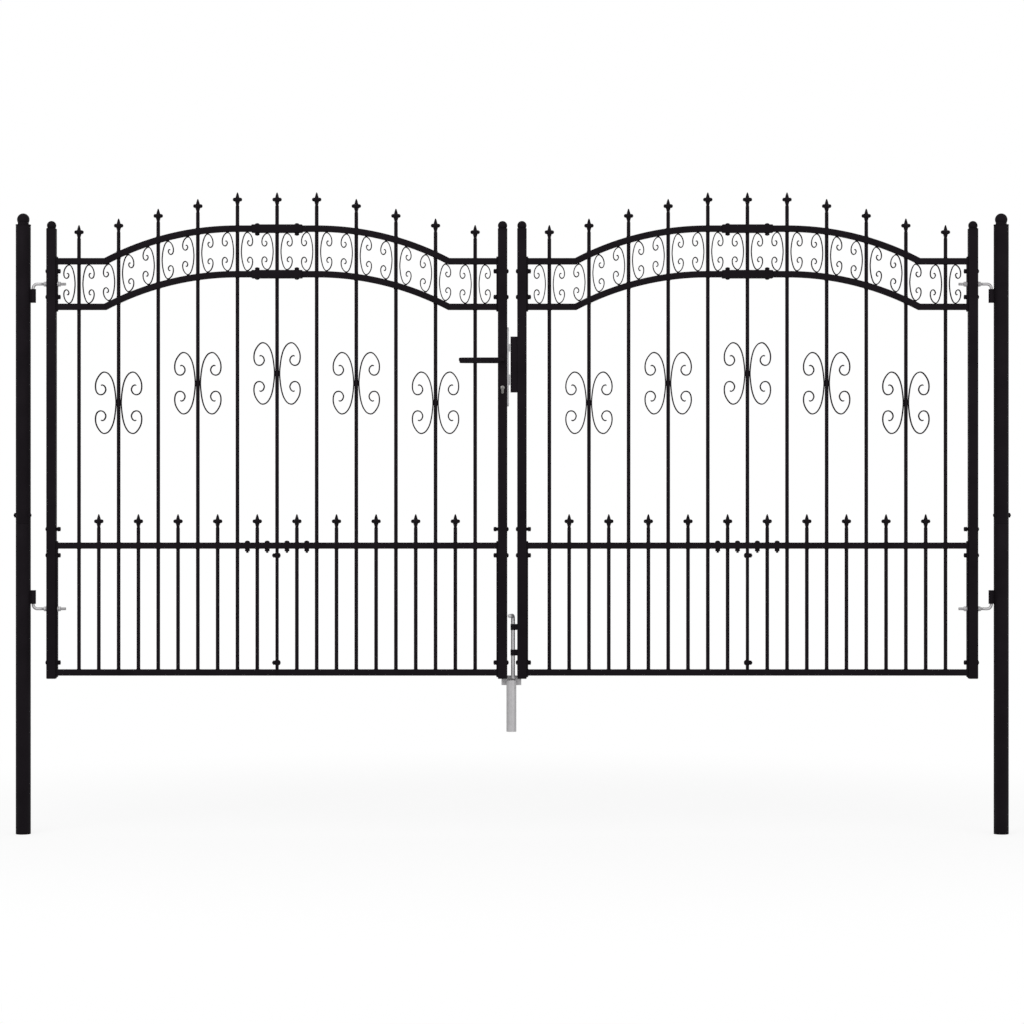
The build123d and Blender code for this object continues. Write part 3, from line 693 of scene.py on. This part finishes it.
# Places along the rails in bar pitches from the centre
SLEEVE_BOLTS = (-0.5, 0.5)
RAIL_BOLTS = (-0.75, -0.25, 0.25, 0.75)
CENTRE_BOLTS = (1122.0, 690.0)
POST_BOLT_SINK, POST_BOLT_TURN, POST_BOLT_RISE = 1.8, -24.0, 34.0


def bolts():
    """Heads and nuts of the bolts all over the leaf's frame."""
    heads, nuts = [], []
    left_plate = LEAF_LEFT + STILE + PLATE
    right_plate = LEAF_RIGHT - STILE - PLATE
    spacer = washer(SPACER, PLATE + 2 * SPACER_OVERLAP)
    for z, plated in STILE_BOLTS:
        add_bolt(heads, nuts, STILE_BOLT, "-x", (LEAF_LEFT, 0, z), (left_plate, 0, z))
        add_bolt(heads, nuts, STILE_BOLT, "+x", (LEAF_RIGHT, 0, z), (right_plate, 0, z))
        if not plated:
            nuts.append(placed(spacer, (left_plate - PLATE - SPACER_OVERLAP, 0, z), "+x"))
            nuts.append(placed(spacer, (right_plate + PLATE + SPACER_OVERLAP, 0, z), "-x"))
    upper, lower = UPPER_ARCH + ARCH_RISE, LOWER_ARCH + ARCH_RISE
    half = SLEEVE / 2
    for step in SLEEVE_BOLTS:
        x = LEAF_CENTRE + step * PITCH
        add_bolt(heads, nuts, SLEEVE_BOLT, "+z", (x, 0, upper + half), (x, 0, upper - half))
        add_bolt(heads, nuts, SLEEVE_BOLT, "-z", (x, 0, lower - half), (x, 0, lower + half))
    half = RAIL / 2
    for step in RAIL_BOLTS:
        x = LEAF_CENTRE + step * PITCH
        add_bolt(heads, nuts, RAIL_BOLT, "+z", (x, 0, MID_RAIL + half), (x, 0, MID_RAIL - half))
    for z in CENTRE_BOLTS:
        add_bolt(heads, nuts, CENTRE_BOLT, "+x", (LEAF_CENTRE + PLATE, 0, z), (LEAF_CENTRE - PLATE, 0, z))
    return heads, nuts


def post_bolt():
    """The bolt that keeps the post's two tubes together, turned so that its head shows at the front."""
    bolt = []
    reach = POST_RADIUS - POST_BOLT_SINK
    add_bolt(bolt, bolt, POST_BOLT, "+x", (reach, 0, 0), (-reach, 0, 0))
    turn = math.radians(POST_BOLT_TURN)
    c, s = math.cos(turn), math.sin(turn)
    height = POST_SPLICE + POST_BOLT_RISE
    points, faces = joined(bolt)
    yield [(x * c - y * s, x * s + y * c, z + height) for x, y, z in points], faces


# Hinges and post tubes

HINGE_ROD, HINGE_ROD_SIDES, HINGE_BEND, HINGE_OVERHANG = 12.0, 20, 17.0, 39.0
HINGE_THREAD_START, HINGE_THREAD_MARGIN, HINGE_THREAD_PITCH = 74.0, 1.6, 1.8
HINGE_THREAD_SHARE, HINGE_TIP, HINGE_TIP_SHARE = 0.9, 1.4, 0.8
HINGE_WASHER, HINGE_WASHER_DEPTH, HINGE_NUT, HINGE_NUT_DEPTH = 25.0, 2.4, 19.0, 9.6
BARREL_WELD, BARREL_WELD_STEP, BARREL_WELD_INSET = 3.0, 4.0, 3.0
BARREL_WELD_X, BARREL_WELD_Y = 31.0, 6.4
POST_EASE = ((1.2, 0.0), (0.3, 0.4), (0.0, 1.2))


def hinge_rods():
    """Bent, threaded hinge rods."""
    end = LEAF_LEFT + STILE + HINGE_OVERHANG
    for near, far, sign in HINGES:
        arm = near + sign * HINGE_DROP
        path = [(HINGE_AXIS, far)] + quarter_bend(HINGE_AXIS, arm, HINGE_BEND, sign)
        sizes = [1.0] * len(path)
        x = HINGE_THREAD_START
        while x < end - HINGE_THREAD_MARGIN:
            path += [(x, arm), (x + HINGE_THREAD_PITCH / 2, arm)]
            sizes += [1.0, HINGE_THREAD_SHARE]
            x += HINGE_THREAD_PITCH
        path += [(end - HINGE_TIP, arm), (end, arm)]
        sizes += [1.0, HINGE_TIP_SHARE]
        yield swept(path, circle(HINGE_ROD / 2, HINGE_ROD_SIDES), sizes)


def hinge_nuts():
    """Nuts and washers on both sides of the stile, on each hinge rod."""
    faces = ((LEAF_LEFT, "-x", -1), (LEAF_LEFT + STILE + PLATE, "+x", 1))
    for near, _, sign in HINGES:
        z = near + sign * HINGE_DROP
        for x, axis, way in faces:
            yield placed(washer(HINGE_WASHER, HINGE_WASHER_DEPTH), (x, 0, z), axis)
            nut_place = (x + way * HINGE_WASHER_DEPTH, 0, z)
            yield placed(hex_nut(HINGE_NUT, HINGE_NUT_DEPTH), nut_place, axis)


def barrel_welds():
    """Weld beads between the barrels and the post."""
    for near, far, _ in HINGES:
        low = min(near, far) + BARREL_WELD_INSET
        high = max(near, far) - BARREL_WELD_INSET
        for y in (-BARREL_WELD_Y, BARREL_WELD_Y):
            yield upright_bead(BARREL_WELD_X, y, low, high, BARREL_WELD, BARREL_WELD_STEP)


def post_tube(low, high):
    """A round tube with eased ends."""
    rows = [(POST_RADIUS - inset, z) for inset, z in eased(low, high, POST_EASE)]
    yield turned(rows, POST_SIDES)


# Lock and levers

FACEPLATE_HALF, FACEPLATE_WIDTH = 159.5, 22.0
FACEPLATE_CORNER, FACEPLATE_CORNER_STEPS = 10.4, 6
# Rings of the faceplate: inset, and distance from the stile
FACEPLATE_RINGS = ((0.0, 0.0), (0.0, 5.2), (0.5, 5.8), (1.2, 6.0))
SCREW_INSET, SCREW_SIDES, SOCKET_SIDES = 11.5, 28, 6
SCREW_RIM = ((4.4, 0.0), (4.4, 0.5), (3.9, 0.9), (3.2, 1.0))
SCREW_FLOOR, SCREW_STAND = ((3.1, 0.4), (0.1, 0.4)), 5.8
SOCKET_FLOOR, SOCKET_STAND = ((3.0, 0.6), (2.0, 0.5), (0.1, 0.5)), 5.9
CYLINDER_RADIUS, CYLINDER_WEB_HALF, CYLINDER_DROP = 8.5, 5.0, 24.5
CYLINDER_STEPS, CYLINDER_WEB_STEPS, CYLINDER_STAND = 32, 12, 5.0
CYLINDER_EASE = ((0.9, 0.0), (0.2, 0.5), (0.0, 1.2))
CORE, CORE_SIDES, CORE_SINK = ((6.4, 0.0), (6.4, 0.5), (6.0, 0.8), (0.1, 0.8)), 36, 0.2
KEY_SLOT_WIDTH, KEY_SLOT_HEIGHT, KEY_SLOT_STAND = 1.4, 8.0, 0.3
KEY_SLOT_THICKNESS, KEY_SLOT_EASE = 0.5, (0.6, 0.1)
LEVER_GAP, LEVER_STAND, GRIP_HEIGHT, GRIP_THICKNESS = 0.5, 52.0, 16.5, 12.0
GRIP_CORNER, GRIP_CORNER_LIMIT, GRIP_CORNER_STEPS = 4.4, 5.2, 5
LEVER_NECK_SIDES = 36
LEVER_NECK = (
    (9.0, 0.0), (9.8, 0.7), (9.8, 3.4), (8.8, 4.4), (8.0, 6.5), (7.8, 20.0), (8.0, 38.0), (8.0, 46.0),
)
# Stations along the grip: x from the spindle, then shares of its height and of its thickness
GRIP_STATIONS = (
    (8.0, 0.6, 0.55), (7.4, 0.82, 0.82), (5.6, 0.96, 0.96), (3.0, 1.0, 1.0), (-60.0, 1.0, 1.0),
    (-150.0, 0.97, 0.97), (-168.0, 0.94, 0.95), (-172.5, 0.86, 0.86), (-174.6, 0.66, 0.6),
    (-175.0, 0.5, 0.45),
)
ROSETTE, ROSETTE_SIDES = ((13.2, -0.4), (13.2, 0.0), (12.6, 0.25), (11.2, 0.3)), 40


def faceplate():
    """The lock's long steel faceplate with round ends."""
    rings = []
    for inset, x in FACEPLATE_RINGS:
        width, height = FACEPLATE_WIDTH - 2 * inset, 2 * (FACEPLATE_HALF - inset)
        outline = rounded_rectangle(width, height, FACEPLATE_CORNER - inset, FACEPLATE_CORNER_STEPS)
        rings.append([(LEAF_RIGHT + x, y, LOCK_MIDDLE + z) for y, z in outline])
    yield loft(rings)


def faceplate_screws():
    """Screws at both ends of the faceplate, each with a six-sided socket."""
    reach = FACEPLATE_HALF - SCREW_INSET
    socket = turned(SCREW_RIM + SOCKET_FLOOR, SOCKET_SIDES)
    head = turned(SCREW_RIM + SCREW_FLOOR, SCREW_SIDES)
    for z in (LOCK_MIDDLE - reach, LOCK_MIDDLE + reach):
        yield placed(socket, (LEAF_RIGHT + SOCKET_STAND, 0, z), "+x")
        yield placed(head, (LEAF_RIGHT + SCREW_STAND, 0, z), "+x")


def cylinder_outline(inset):
    """Outline of the lock cylinder: a circle with a web below it."""
    radius, web, drop = CYLINDER_RADIUS - inset, CYLINDER_WEB_HALF - inset, CYLINDER_DROP - inset
    cut = math.asin(web / radius)
    top = arc(radius, -math.pi / 2 + cut, 2 * math.pi - 2 * cut, CYLINDER_STEPS)
    foot = arc(web, math.pi, math.pi, CYLINDER_WEB_STEPS)
    return top + [(x, -(drop - web) + z) for x, z in foot]


def cylinder():
    """The lock cylinder, with a turning core and an upright key slot on each face, each slot drawn as a
    thin raised slab in painted shade.
    """
    body, slots = [], []
    reach = STILE / 2 + CYLINDER_STAND
    rings = []
    for inset, y in eased(-reach, reach, CYLINDER_EASE):
        rings.append([(LOCK_AXIS + x, y, CYLINDER_HEIGHT + z) for x, z in cylinder_outline(inset)])
    body.append(loft(rings))
    core = turned(CORE, CORE_SIDES)
    # A slab that is laid along +Y has its width upright, and one along -Y its depth
    sides = ((-1, KEY_SLOT_WIDTH, KEY_SLOT_HEIGHT), (1, KEY_SLOT_HEIGHT, KEY_SLOT_WIDTH))
    for side, width, depth in sides:
        axis = face_axis(side)
        body.append(placed(core, (LOCK_AXIS, side * (reach - CORE_SINK), CYLINDER_HEIGHT), axis))
        # Each key slot is a thin slab standing proud of the core, coloured dark as painted shade for the
        # slot's recess
        slot = slab(width, depth, KEY_SLOT_THICKNESS, *KEY_SLOT_EASE)
        slots.append(placed(slot, (LOCK_AXIS, side * (reach + KEY_SLOT_STAND), CYLINDER_HEIGHT), axis))
    return body, slots


def lever(side):
    """A lever handle: a round neck that turns into a flat, softly rounded grip."""
    face = STILE / 2 + LEVER_GAP
    middle = STILE / 2 + LEVER_STAND - GRIP_THICKNESS / 2
    neck = turned(LEVER_NECK, LEVER_NECK_SIDES)
    yield placed(neck, (LOCK_AXIS, side * face, LEVER_HEIGHT), face_axis(side))
    rings = []
    for x, tall, deep in GRIP_STATIONS:
        corner = min(GRIP_CORNER, GRIP_CORNER_LIMIT * deep)
        height, depth = GRIP_HEIGHT * tall, GRIP_THICKNESS * deep
        outline = rounded_rectangle(height, depth, corner, GRIP_CORNER_STEPS)
        rings.append([(LOCK_AXIS + x, side * (middle + d), LEVER_HEIGHT + h) for h, d in outline])
    yield loft(rings)


def rosette(side):
    """The flat round collar round a lever's neck, on the stile."""
    place = (LOCK_AXIS, side * STILE / 2, LEVER_HEIGHT)
    yield placed(turned(ROSETTE, ROSETTE_SIDES), place, face_axis(side))


# Drop bolt, and the welds of its guides, of the keeper and of the ground sleeve

DROP_ROD, DROP_SIDES, DROP_LENGTH, DROP_OVERHANG = 16.0, 28, 256.0, 1.5
DROP_BEND, DROP_HANDLE, DROP_TURN = 13.0, 55.0, 15.0
# Both ends of the rod: distance from the end, and share of the full thickness
DROP_FOOT = ((0.0, 0.6), (1.0, 0.85), (3.0, 1.0), (60.0, 1.0), (140.0, 1.0))
DROP_TIP = ((3.0, 1.0), (1.0, 0.86), (0.0, 0.62))
GUIDES, GUIDE_HALF, GUIDE_WELD, GUIDE_WELD_SPAN = (719.0, 822.0), 7.0, 2.2, (2.0, 22.0)
KEEPER_HALF, KEEPER_WELD = 16.0, 2.0
KEEPER_WELD_SPANS = ((1786.0, 1816.0), (1876.0, 1906.0), (1966.0, 1996.0))
GROUND_SLEEVE_X, GROUND_SLEEVE_WELD = 1966.5, 2.4
GROUND_WELD_ACROSS, GROUND_WELD_Y, GROUND_WELD_SPAN = 8.0, 23.6, (600.0, 617.0)


def drop_bolt():
    """A round rod with an eased foot and a handle bent to the front."""
    low = LEAF_BOTTOM - DROP_OVERHANG
    top = low + DROP_LENGTH
    bend = quarter_bend(0.0, top, DROP_BEND)
    path = [(0.0, low + distance) for distance, _ in DROP_FOOT]
    path += bend
    path += [(DROP_HANDLE - distance, top) for distance, _ in DROP_TIP]
    sizes = [share for _, share in DROP_FOOT]
    sizes += [1.0] * len(bend)
    sizes += [share for _, share in DROP_TIP]
    points, faces = swept(path, circle(DROP_ROD / 2, DROP_SIDES), sizes)
    turn = math.radians(DROP_TURN)
    c, s = math.cos(turn), math.sin(turn)
    yield [(DROP_AXIS - x * s + y * c, -x * c - y * s, z) for x, y, z in points], faces


def guide_welds():
    """Weld beads of the drop bolt's guides and of the keeper on the right stile."""
    x = GATE_CENTRE + LEAF_GAP / 2
    start, stop = GUIDE_WELD_SPAN
    for low in GUIDES:
        for y in (-GUIDE_HALF, GUIDE_HALF):
            yield upright_bead(x, y, low + start, low + stop, GUIDE_WELD)
    for y in (-KEEPER_HALF, KEEPER_HALF):
        for low, high in KEEPER_WELD_SPANS:
            yield upright_bead(x, y, low, high, KEEPER_WELD)


def sleeve_welds():
    """Weld beads between the ground sleeve and its stop plate."""
    low, high = GROUND_WELD_SPAN
    for dx in (-GROUND_WELD_ACROSS, GROUND_WELD_ACROSS):
        yield upright_bead(GROUND_SLEEVE_X + dx, GROUND_WELD_Y, low, high, GROUND_SLEEVE_WELD)


# Materials

# The part of a noise texture's range that its values mostly fill
NOISE_LOW, NOISE_HIGH = 0.3, 0.7


def add_node(tree, kind, values=None, sources=None):
    """A new node with values on some of its inputs and links to others."""
    node = tree.nodes.new(kind)
    for key, value in (values or {}).items():
        node.inputs[key].default_value = value
    for key, source in (sources or {}).items():
        tree.links.new(source, node.inputs[key])
    return node


def remapped(tree, source, start, end, low, high):
    """A node that takes the range from start to end to the range from low to high."""
    values = {"From Min": start, "From Max": end, "To Min": low, "To Max": high}
    return add_node(tree, "ShaderNodeMapRange", values, {"Value": source})


class Look:
    """A material in the making: its shader, and what adds textures to it."""

    def __init__(self, name):
        self.material = bpy.data.materials.new(name)
        self.material.use_nodes = True
        self.tree = self.material.node_tree
        self.shader = self.tree.nodes["Principled BSDF"]
        self.place = self.tree.nodes.new("ShaderNodeTexCoord").outputs["Object"]

    def noise(self, scale, detail=3.0, stretch=None):
        """A noise texture, which can be stretched along the axes."""
        source = self.place
        if stretch:
            mapping = add_node(self.tree, "ShaderNodeMapping", {"Scale": stretch}, {"Vector": source})
            source = mapping.outputs["Vector"]
        values = {"Scale": scale, "Detail": detail}
        return add_node(self.tree, "ShaderNodeTexNoise", values, {"Vector": source}).outputs["Fac"]

    def cells(self, scale):
        """A texture of cells with a tone each."""
        node = add_node(self.tree, "ShaderNodeTexVoronoi", {"Scale": scale}, {"Vector": self.place})
        return node.outputs["Color"]

    def colour(self, source, dark, light, start=NOISE_LOW, end=NOISE_HIGH):
        """Base colour from dark to light over a texture's range."""
        node = add_node(self.tree, "ShaderNodeValToRGB", sources={"Fac": source})
        for element, place, tone in zip(node.color_ramp.elements, (start, end), (dark, light)):
            element.position = place
            element.color = (*tone, 1.0)
        self.feed("Base Color", node.outputs["Color"])

    def roughness(self, source, low, high):
        """Roughness from low to high over a texture's range."""
        node = remapped(self.tree, source, NOISE_LOW, NOISE_HIGH, low, high)
        self.feed("Roughness", node.outputs["Result"])

    def bump(self, source, strength, distance):
        """Relief by a texture, on top of any relief added before."""
        values = {"Strength": strength, "Distance": distance}
        node = add_node(self.tree, "ShaderNodeBump", values, {"Height": source})
        earlier = self.shader.inputs["Normal"].links
        if earlier:
            self.tree.links.new(earlier[0].from_socket, node.inputs["Normal"])
        self.feed("Normal", node.outputs["Normal"])

    def feed(self, key, source):
        """Links a source to one of the shader's sockets."""
        self.tree.links.new(source, self.shader.inputs[key])

    def constant(self, key, value):
        """A plain value on one of the shader's sockets."""
        self.shader.inputs[key].default_value = value


def black_coat():
    """Low-gloss black powder coat with a fine orange-peel surface."""
    look = Look("black_powder_coat")
    patches = look.noise(scale=9.0, detail=6.0)
    look.colour(patches, dark=(0.0040, 0.0031, 0.0040), light=(0.0060, 0.0047, 0.0060))
    look.roughness(look.noise(scale=14.0, detail=5.0), low=0.6, high=0.74)
    look.constant("Specular IOR Level", 0.065)
    look.constant("Specular Tint", (1.0, 0.86, 1.0, 1.0))
    look.bump(look.noise(scale=420.0, detail=2.0), strength=0.1, distance=0.0003)
    look.bump(look.noise(scale=60.0, detail=2.0), strength=0.03, distance=0.001)
    return look.material


def zinc_plate():
    """Bright zinc plate with faint crystals and dull patches."""
    look = Look("zinc_plate")
    crystals = look.cells(scale=90.0)
    look.colour(crystals, dark=(0.375, 0.368, 0.375), light=(0.405, 0.398, 0.405), start=0.1, end=0.9)
    look.constant("Metallic", 0.85)
    look.roughness(look.noise(scale=40.0, detail=5.0), low=0.45, high=0.58)
    look.bump(look.noise(scale=160.0, detail=2.0), strength=0.05, distance=0.0003)
    return look.material


def brushed_steel():
    """Steel with fine brush lines along its length."""
    look = Look("brushed_lock_steel")
    lines = look.noise(scale=1.0, detail=4.0, stretch=(900.0, 900.0, 14.0))
    look.colour(lines, dark=(0.33, 0.33, 0.34), light=(0.5, 0.5, 0.51), start=0.25, end=0.75)
    look.constant("Metallic", 0.9)
    look.roughness(lines, low=0.26, high=0.44)
    look.bump(lines, strength=0.1, distance=0.0003)
    return look.material


def satin_nickel():
    """Dull nickel plate on the lock cylinder."""
    look = Look("satin_nickel")
    mottle = look.noise(scale=220.0, detail=4.0)
    look.colour(mottle, dark=(0.12, 0.117, 0.113), light=(0.2, 0.195, 0.19))
    look.constant("Metallic", 0.9)
    look.roughness(look.noise(scale=150.0, detail=4.0), low=0.3, high=0.45)
    look.bump(look.noise(scale=500.0, detail=2.0), strength=0.08, distance=0.0002)
    return look.material


def painted_slot_shade():
    """Painted shade: flat near-black colour on the thin raised slabs that stand for the key slots, where
    the slots' recesses would be in shade.
    """
    look = Look("key_slot_shadow")
    look.colour(look.noise(scale=300.0), dark=(0.006, 0.006, 0.006), light=(0.014, 0.014, 0.014))
    look.roughness(look.noise(scale=200.0), low=0.6, high=0.8)
    return look.material


BLACK, ZINC, STEEL = black_coat(), zinc_plate(), brushed_steel()
NICKEL, SLOT = satin_nickel(), painted_slot_shade()
LOOKS = {"black_coat": BLACK, "zinc_plate": ZINC, "lock_steel": STEEL}


# Pieces

# Edges that turn by more than these degrees are shown sharp
SHARP, THREAD_SHARP, NODE_SHARP = 38.0, 60.0, 30.0
COAT = "black_coat"


def shade(mesh, sharp):
    """Smooth shading, apart from sharp edges."""
    mesh.polygons.foreach_set("use_smooth", [True] * len(mesh.polygons))
    mesh.set_sharp_from_angle(angle=math.radians(sharp))


def piece(name, parts, body, replaced=(), slot=COAT, material=None, sharp=SHARP, mirrored=False):
    """Makes parts into one Blender object that rides on a body."""
    points, faces = joined(parts)
    if mirrored:
        points = [(2 * GATE_CENTRE - x, y, z) for x, y, z in points]
    mesh = bpy.data.meshes.new(name)
    mesh.from_pydata([(x * MM, y * MM, z * MM) for x, y, z in points], [], faces)
    work = bmesh.new()
    work.from_mesh(mesh)
    bmesh.ops.recalc_face_normals(work, faces=work.faces)
    work.to_mesh(mesh)
    work.free()
    shade(mesh, sharp)
    mesh.materials.append(material or LOOKS[slot])
    obj = bpy.data.objects.new(name, mesh)
    bpy.context.scene.collection.objects.link(obj)
    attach(obj, body)
    if replaced:
        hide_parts(*replaced)


def both(name, parts, replaced=(), body="leaf", slot=COAT, sharp=SHARP):
    """A piece on the left, and its mirror image on the right."""
    parts = list(parts)
    for side in ("left", "right"):
        on = body if body == "posts" else f"{side}_{body}"
        stands_for = [f"{side}_{node}" for node in replaced]
        piece(f"{side}_{name}", parts, on, stands_for, slot, None, sharp, side == "right")


both("post_lower_tube", post_tube(0.0, POST_SPLICE), ["post_lower"], "posts")
both("post_upper_tube", post_tube(POST_SPLICE, POST_TOP), ["post_upper"], "posts")
both("post_splice_bolt", post_bolt(), body="posts")
both("barrel_welds", barrel_welds(), body="posts")
piece("left_post_ball_cap", post_cap(), "posts", ["post_caps"])
piece("right_post_ball_cap", post_cap(), "posts", mirrored=True)

both("rails", rails(), ["outer_panel", "inner_panel"])
both("frame_plates", plates())
both("round_bars", bars(), ["centre_bar"])
both("bar_welds", bar_welds())
both("frame_welds", frame_welds())
both("spearheads", spears(), ["spears"])
both("arch_scrolls", band_scrolls(), ["band_scrolls"])
both("paired_scrolls", bar_scrolls(), ["bar_scrolls"])
both("joining_sleeves", sleeves(), ["arch_sleeves"])
both("hinge_side_tube", stile(LEAF_LEFT), ["hinge_stile"])
both("meeting_side_tube", stile(LEAF_RIGHT - STILE), ["meeting_stile"])
both("stile_ball_caps", stile_caps(), ["stile_caps"])
heads, nuts = bolts()
both("cup_head_bolts", heads)
both("frame_nuts", nuts)
both("bent_hinge_rods", hinge_rods(), ["hinge_bolts"], slot="zinc_plate", sharp=THREAD_SHARP)
both("hinge_nuts", hinge_nuts(), slot="zinc_plate")

piece("lock_faceplate", faceplate(), "left_leaf", ["lock_body"], "lock_steel")
piece("faceplate_screws", faceplate_screws(), "left_leaf", slot="lock_steel")
cylinder_body, key_slot_shades = cylinder()
piece("profile_cylinder", cylinder_body, "left_leaf", ["lock_cylinder"], "lock_steel", NICKEL)
# The key slot slabs take the near-black painted-shade material
piece("key_slot_shades", key_slot_shades, "left_leaf", slot="lock_steel", material=SLOT)
piece("front_lever_handle", lever(-1), "lever", ["front_lever"])
piece("back_lever_handle", lever(1), "lever", ["back_lever"])
piece("front_rosette", rosette(-1), "left_leaf")
piece("back_rosette", rosette(1), "left_leaf")
piece("sliding_drop_bolt", drop_bolt(), "drop_bolt", ["drop_bolt"], "zinc_plate")
piece("guide_and_keeper_welds", guide_welds(), "right_leaf")
piece("ground_sleeve_welds", sleeve_welds(), "posts", slot="zinc_plate")

# Solids that stay as they are take the same materials
slots = {row["node"]: row["material_slot"] for row in frame["record"]["subparts"]}
for node, obj in frame["nodes"].items():
    obj.data.materials.clear()
    obj.data.materials.append(LOOKS[slots[node]])
    shade(obj.data, NODE_SHARP)


# Stage, in metres

WHITE, FLOOR_GREY = (1.0, 1.0, 1.0, 1.0), (0.86, 0.86, 0.86, 1.0)
FLOOR_REACH = 60.0
FADE_START, FADE_END, FADE_LEAST = 1.6, 4.2, 0.78
SURROUND_LIGHT = 0.75
CAMERA_PLACE, CAMERA_LENS, CAMERA_SENSOR, CAMERA_CLIP = (1.969, -11.3, 1.297), 98.6, 36.0, 200.0


def math_node(tree, operation, first, second):
    """The result of a math node with two sources."""
    node = add_node(tree, "ShaderNodeMath", sources={0: first, 1: second})
    node.operation = operation
    return node.outputs[0]


def seen_rays(tree):
    """1 for what is seen straight, in a reflection or through glass, and 0 for light on surfaces."""
    rays = tree.nodes.new("ShaderNodeLightPath").outputs
    indirect = math_node(tree, "MAXIMUM", rays["Is Glossy Ray"], rays["Is Transmission Ray"])
    return math_node(tree, "MAXIMUM", rays["Is Camera Ray"], indirect)


def distance_from_gate(tree):
    """Distance on the floor from the middle of the gate."""
    place = tree.nodes.new("ShaderNodeTexCoord").outputs["Object"]
    middle = (GATE_CENTRE * MM, 0.0, 0.0)
    shift = add_node(tree, "ShaderNodeVectorMath", {1: middle}, {0: place})
    shift.operation = "SUBTRACT"
    length = add_node(tree, "ShaderNodeVectorMath", sources={0: shift.outputs["Vector"]})
    length.operation = "LENGTH"
    return length.outputs["Value"]


def floor_material():
    """Pale grey that fades to white away from the gate, where it is seen."""
    material = bpy.data.materials.new("studio_floor")
    material.use_nodes = True
    tree = material.node_tree
    tree.nodes.clear()
    diffuse = add_node(tree, "ShaderNodeBsdfDiffuse", {"Color": FLOOR_GREY})
    glow = add_node(tree, "ShaderNodeEmission", {"Color": WHITE})
    fade = remapped(tree, distance_from_gate(tree), FADE_START, FADE_END, FADE_LEAST, 1.0)
    fade.interpolation_type = "SMOOTHSTEP"
    share = math_node(tree, "MULTIPLY", fade.outputs["Result"], seen_rays(tree))
    sources = {"Fac": share, 1: diffuse.outputs[0], 2: glow.outputs[0]}
    mix = add_node(tree, "ShaderNodeMixShader", sources=sources)
    add_node(tree, "ShaderNodeOutputMaterial", sources={"Surface": mix.outputs[0]})
    return material


def stage_floor():
    """A pale floor under the posts."""
    mesh = bpy.data.meshes.new("studio_floor")
    corners = [(x * FLOOR_REACH, y * FLOOR_REACH, 0) for x, y in ((-1, -1), (1, -1), (1, 1), (-1, 1))]
    mesh.from_pydata(corners, [], [(0, 1, 2, 3)])
    floor = bpy.data.objects.new("studio_floor", mesh)
    bpy.context.scene.collection.objects.link(floor)
    mesh.materials.append(floor_material())


def studio_world():
    """An even pale surround, white to the camera and in reflections."""
    world = bpy.data.worlds.new("studio")
    bpy.context.scene.world = world
    world.use_nodes = True
    tree = world.node_tree
    background = tree.nodes["Background"]
    background.inputs["Color"].default_value = WHITE
    strength = remapped(tree, seen_rays(tree), 0.0, 1.0, SURROUND_LIGHT, 1.0)
    tree.links.new(strength.outputs["Result"], background.inputs["Strength"])


def studio_lamp(name, place, target, size, power):
    """A large soft lamp that points at a target."""
    data = bpy.data.lights.new(name, "AREA")
    data.shape = "RECTANGLE"
    data.size, data.size_y = size
    data.energy = power
    lamp = bpy.data.objects.new(name, data)
    lamp.location = place
    lamp.rotation_mode = "QUATERNION"
    lamp.rotation_quaternion = (Vector(target) - Vector(place)).to_track_quat("-Z", "Y")
    bpy.context.scene.collection.objects.link(lamp)


def photo_camera():
    """The camera at the photograph's place, straight in front of the gate."""
    data = bpy.data.cameras.new("photo_view")
    data.sensor_width = CAMERA_SENSOR
    data.lens = CAMERA_LENS
    data.clip_end = CAMERA_CLIP
    camera = bpy.data.objects.new("photo_view", data)
    camera.location = CAMERA_PLACE
    camera.rotation_euler = (math.radians(90.0), 0.0, 0.0)
    bpy.context.scene.collection.objects.link(camera)
    bpy.context.scene.camera = camera


stage_floor()
studio_world()
studio_lamp("key", place=(-1.5, -6.0, 5.5), target=(1.97, 0.0, 1.4), size=(5.0, 5.0), power=260.0)
studio_lamp("fill", place=(6.5, -5.0, 3.0), target=(1.97, 0.0, 1.2), size=(5.0, 5.0), power=120.0)
photo_camera()
bpy.context.scene.view_settings.view_transform = "Standard"
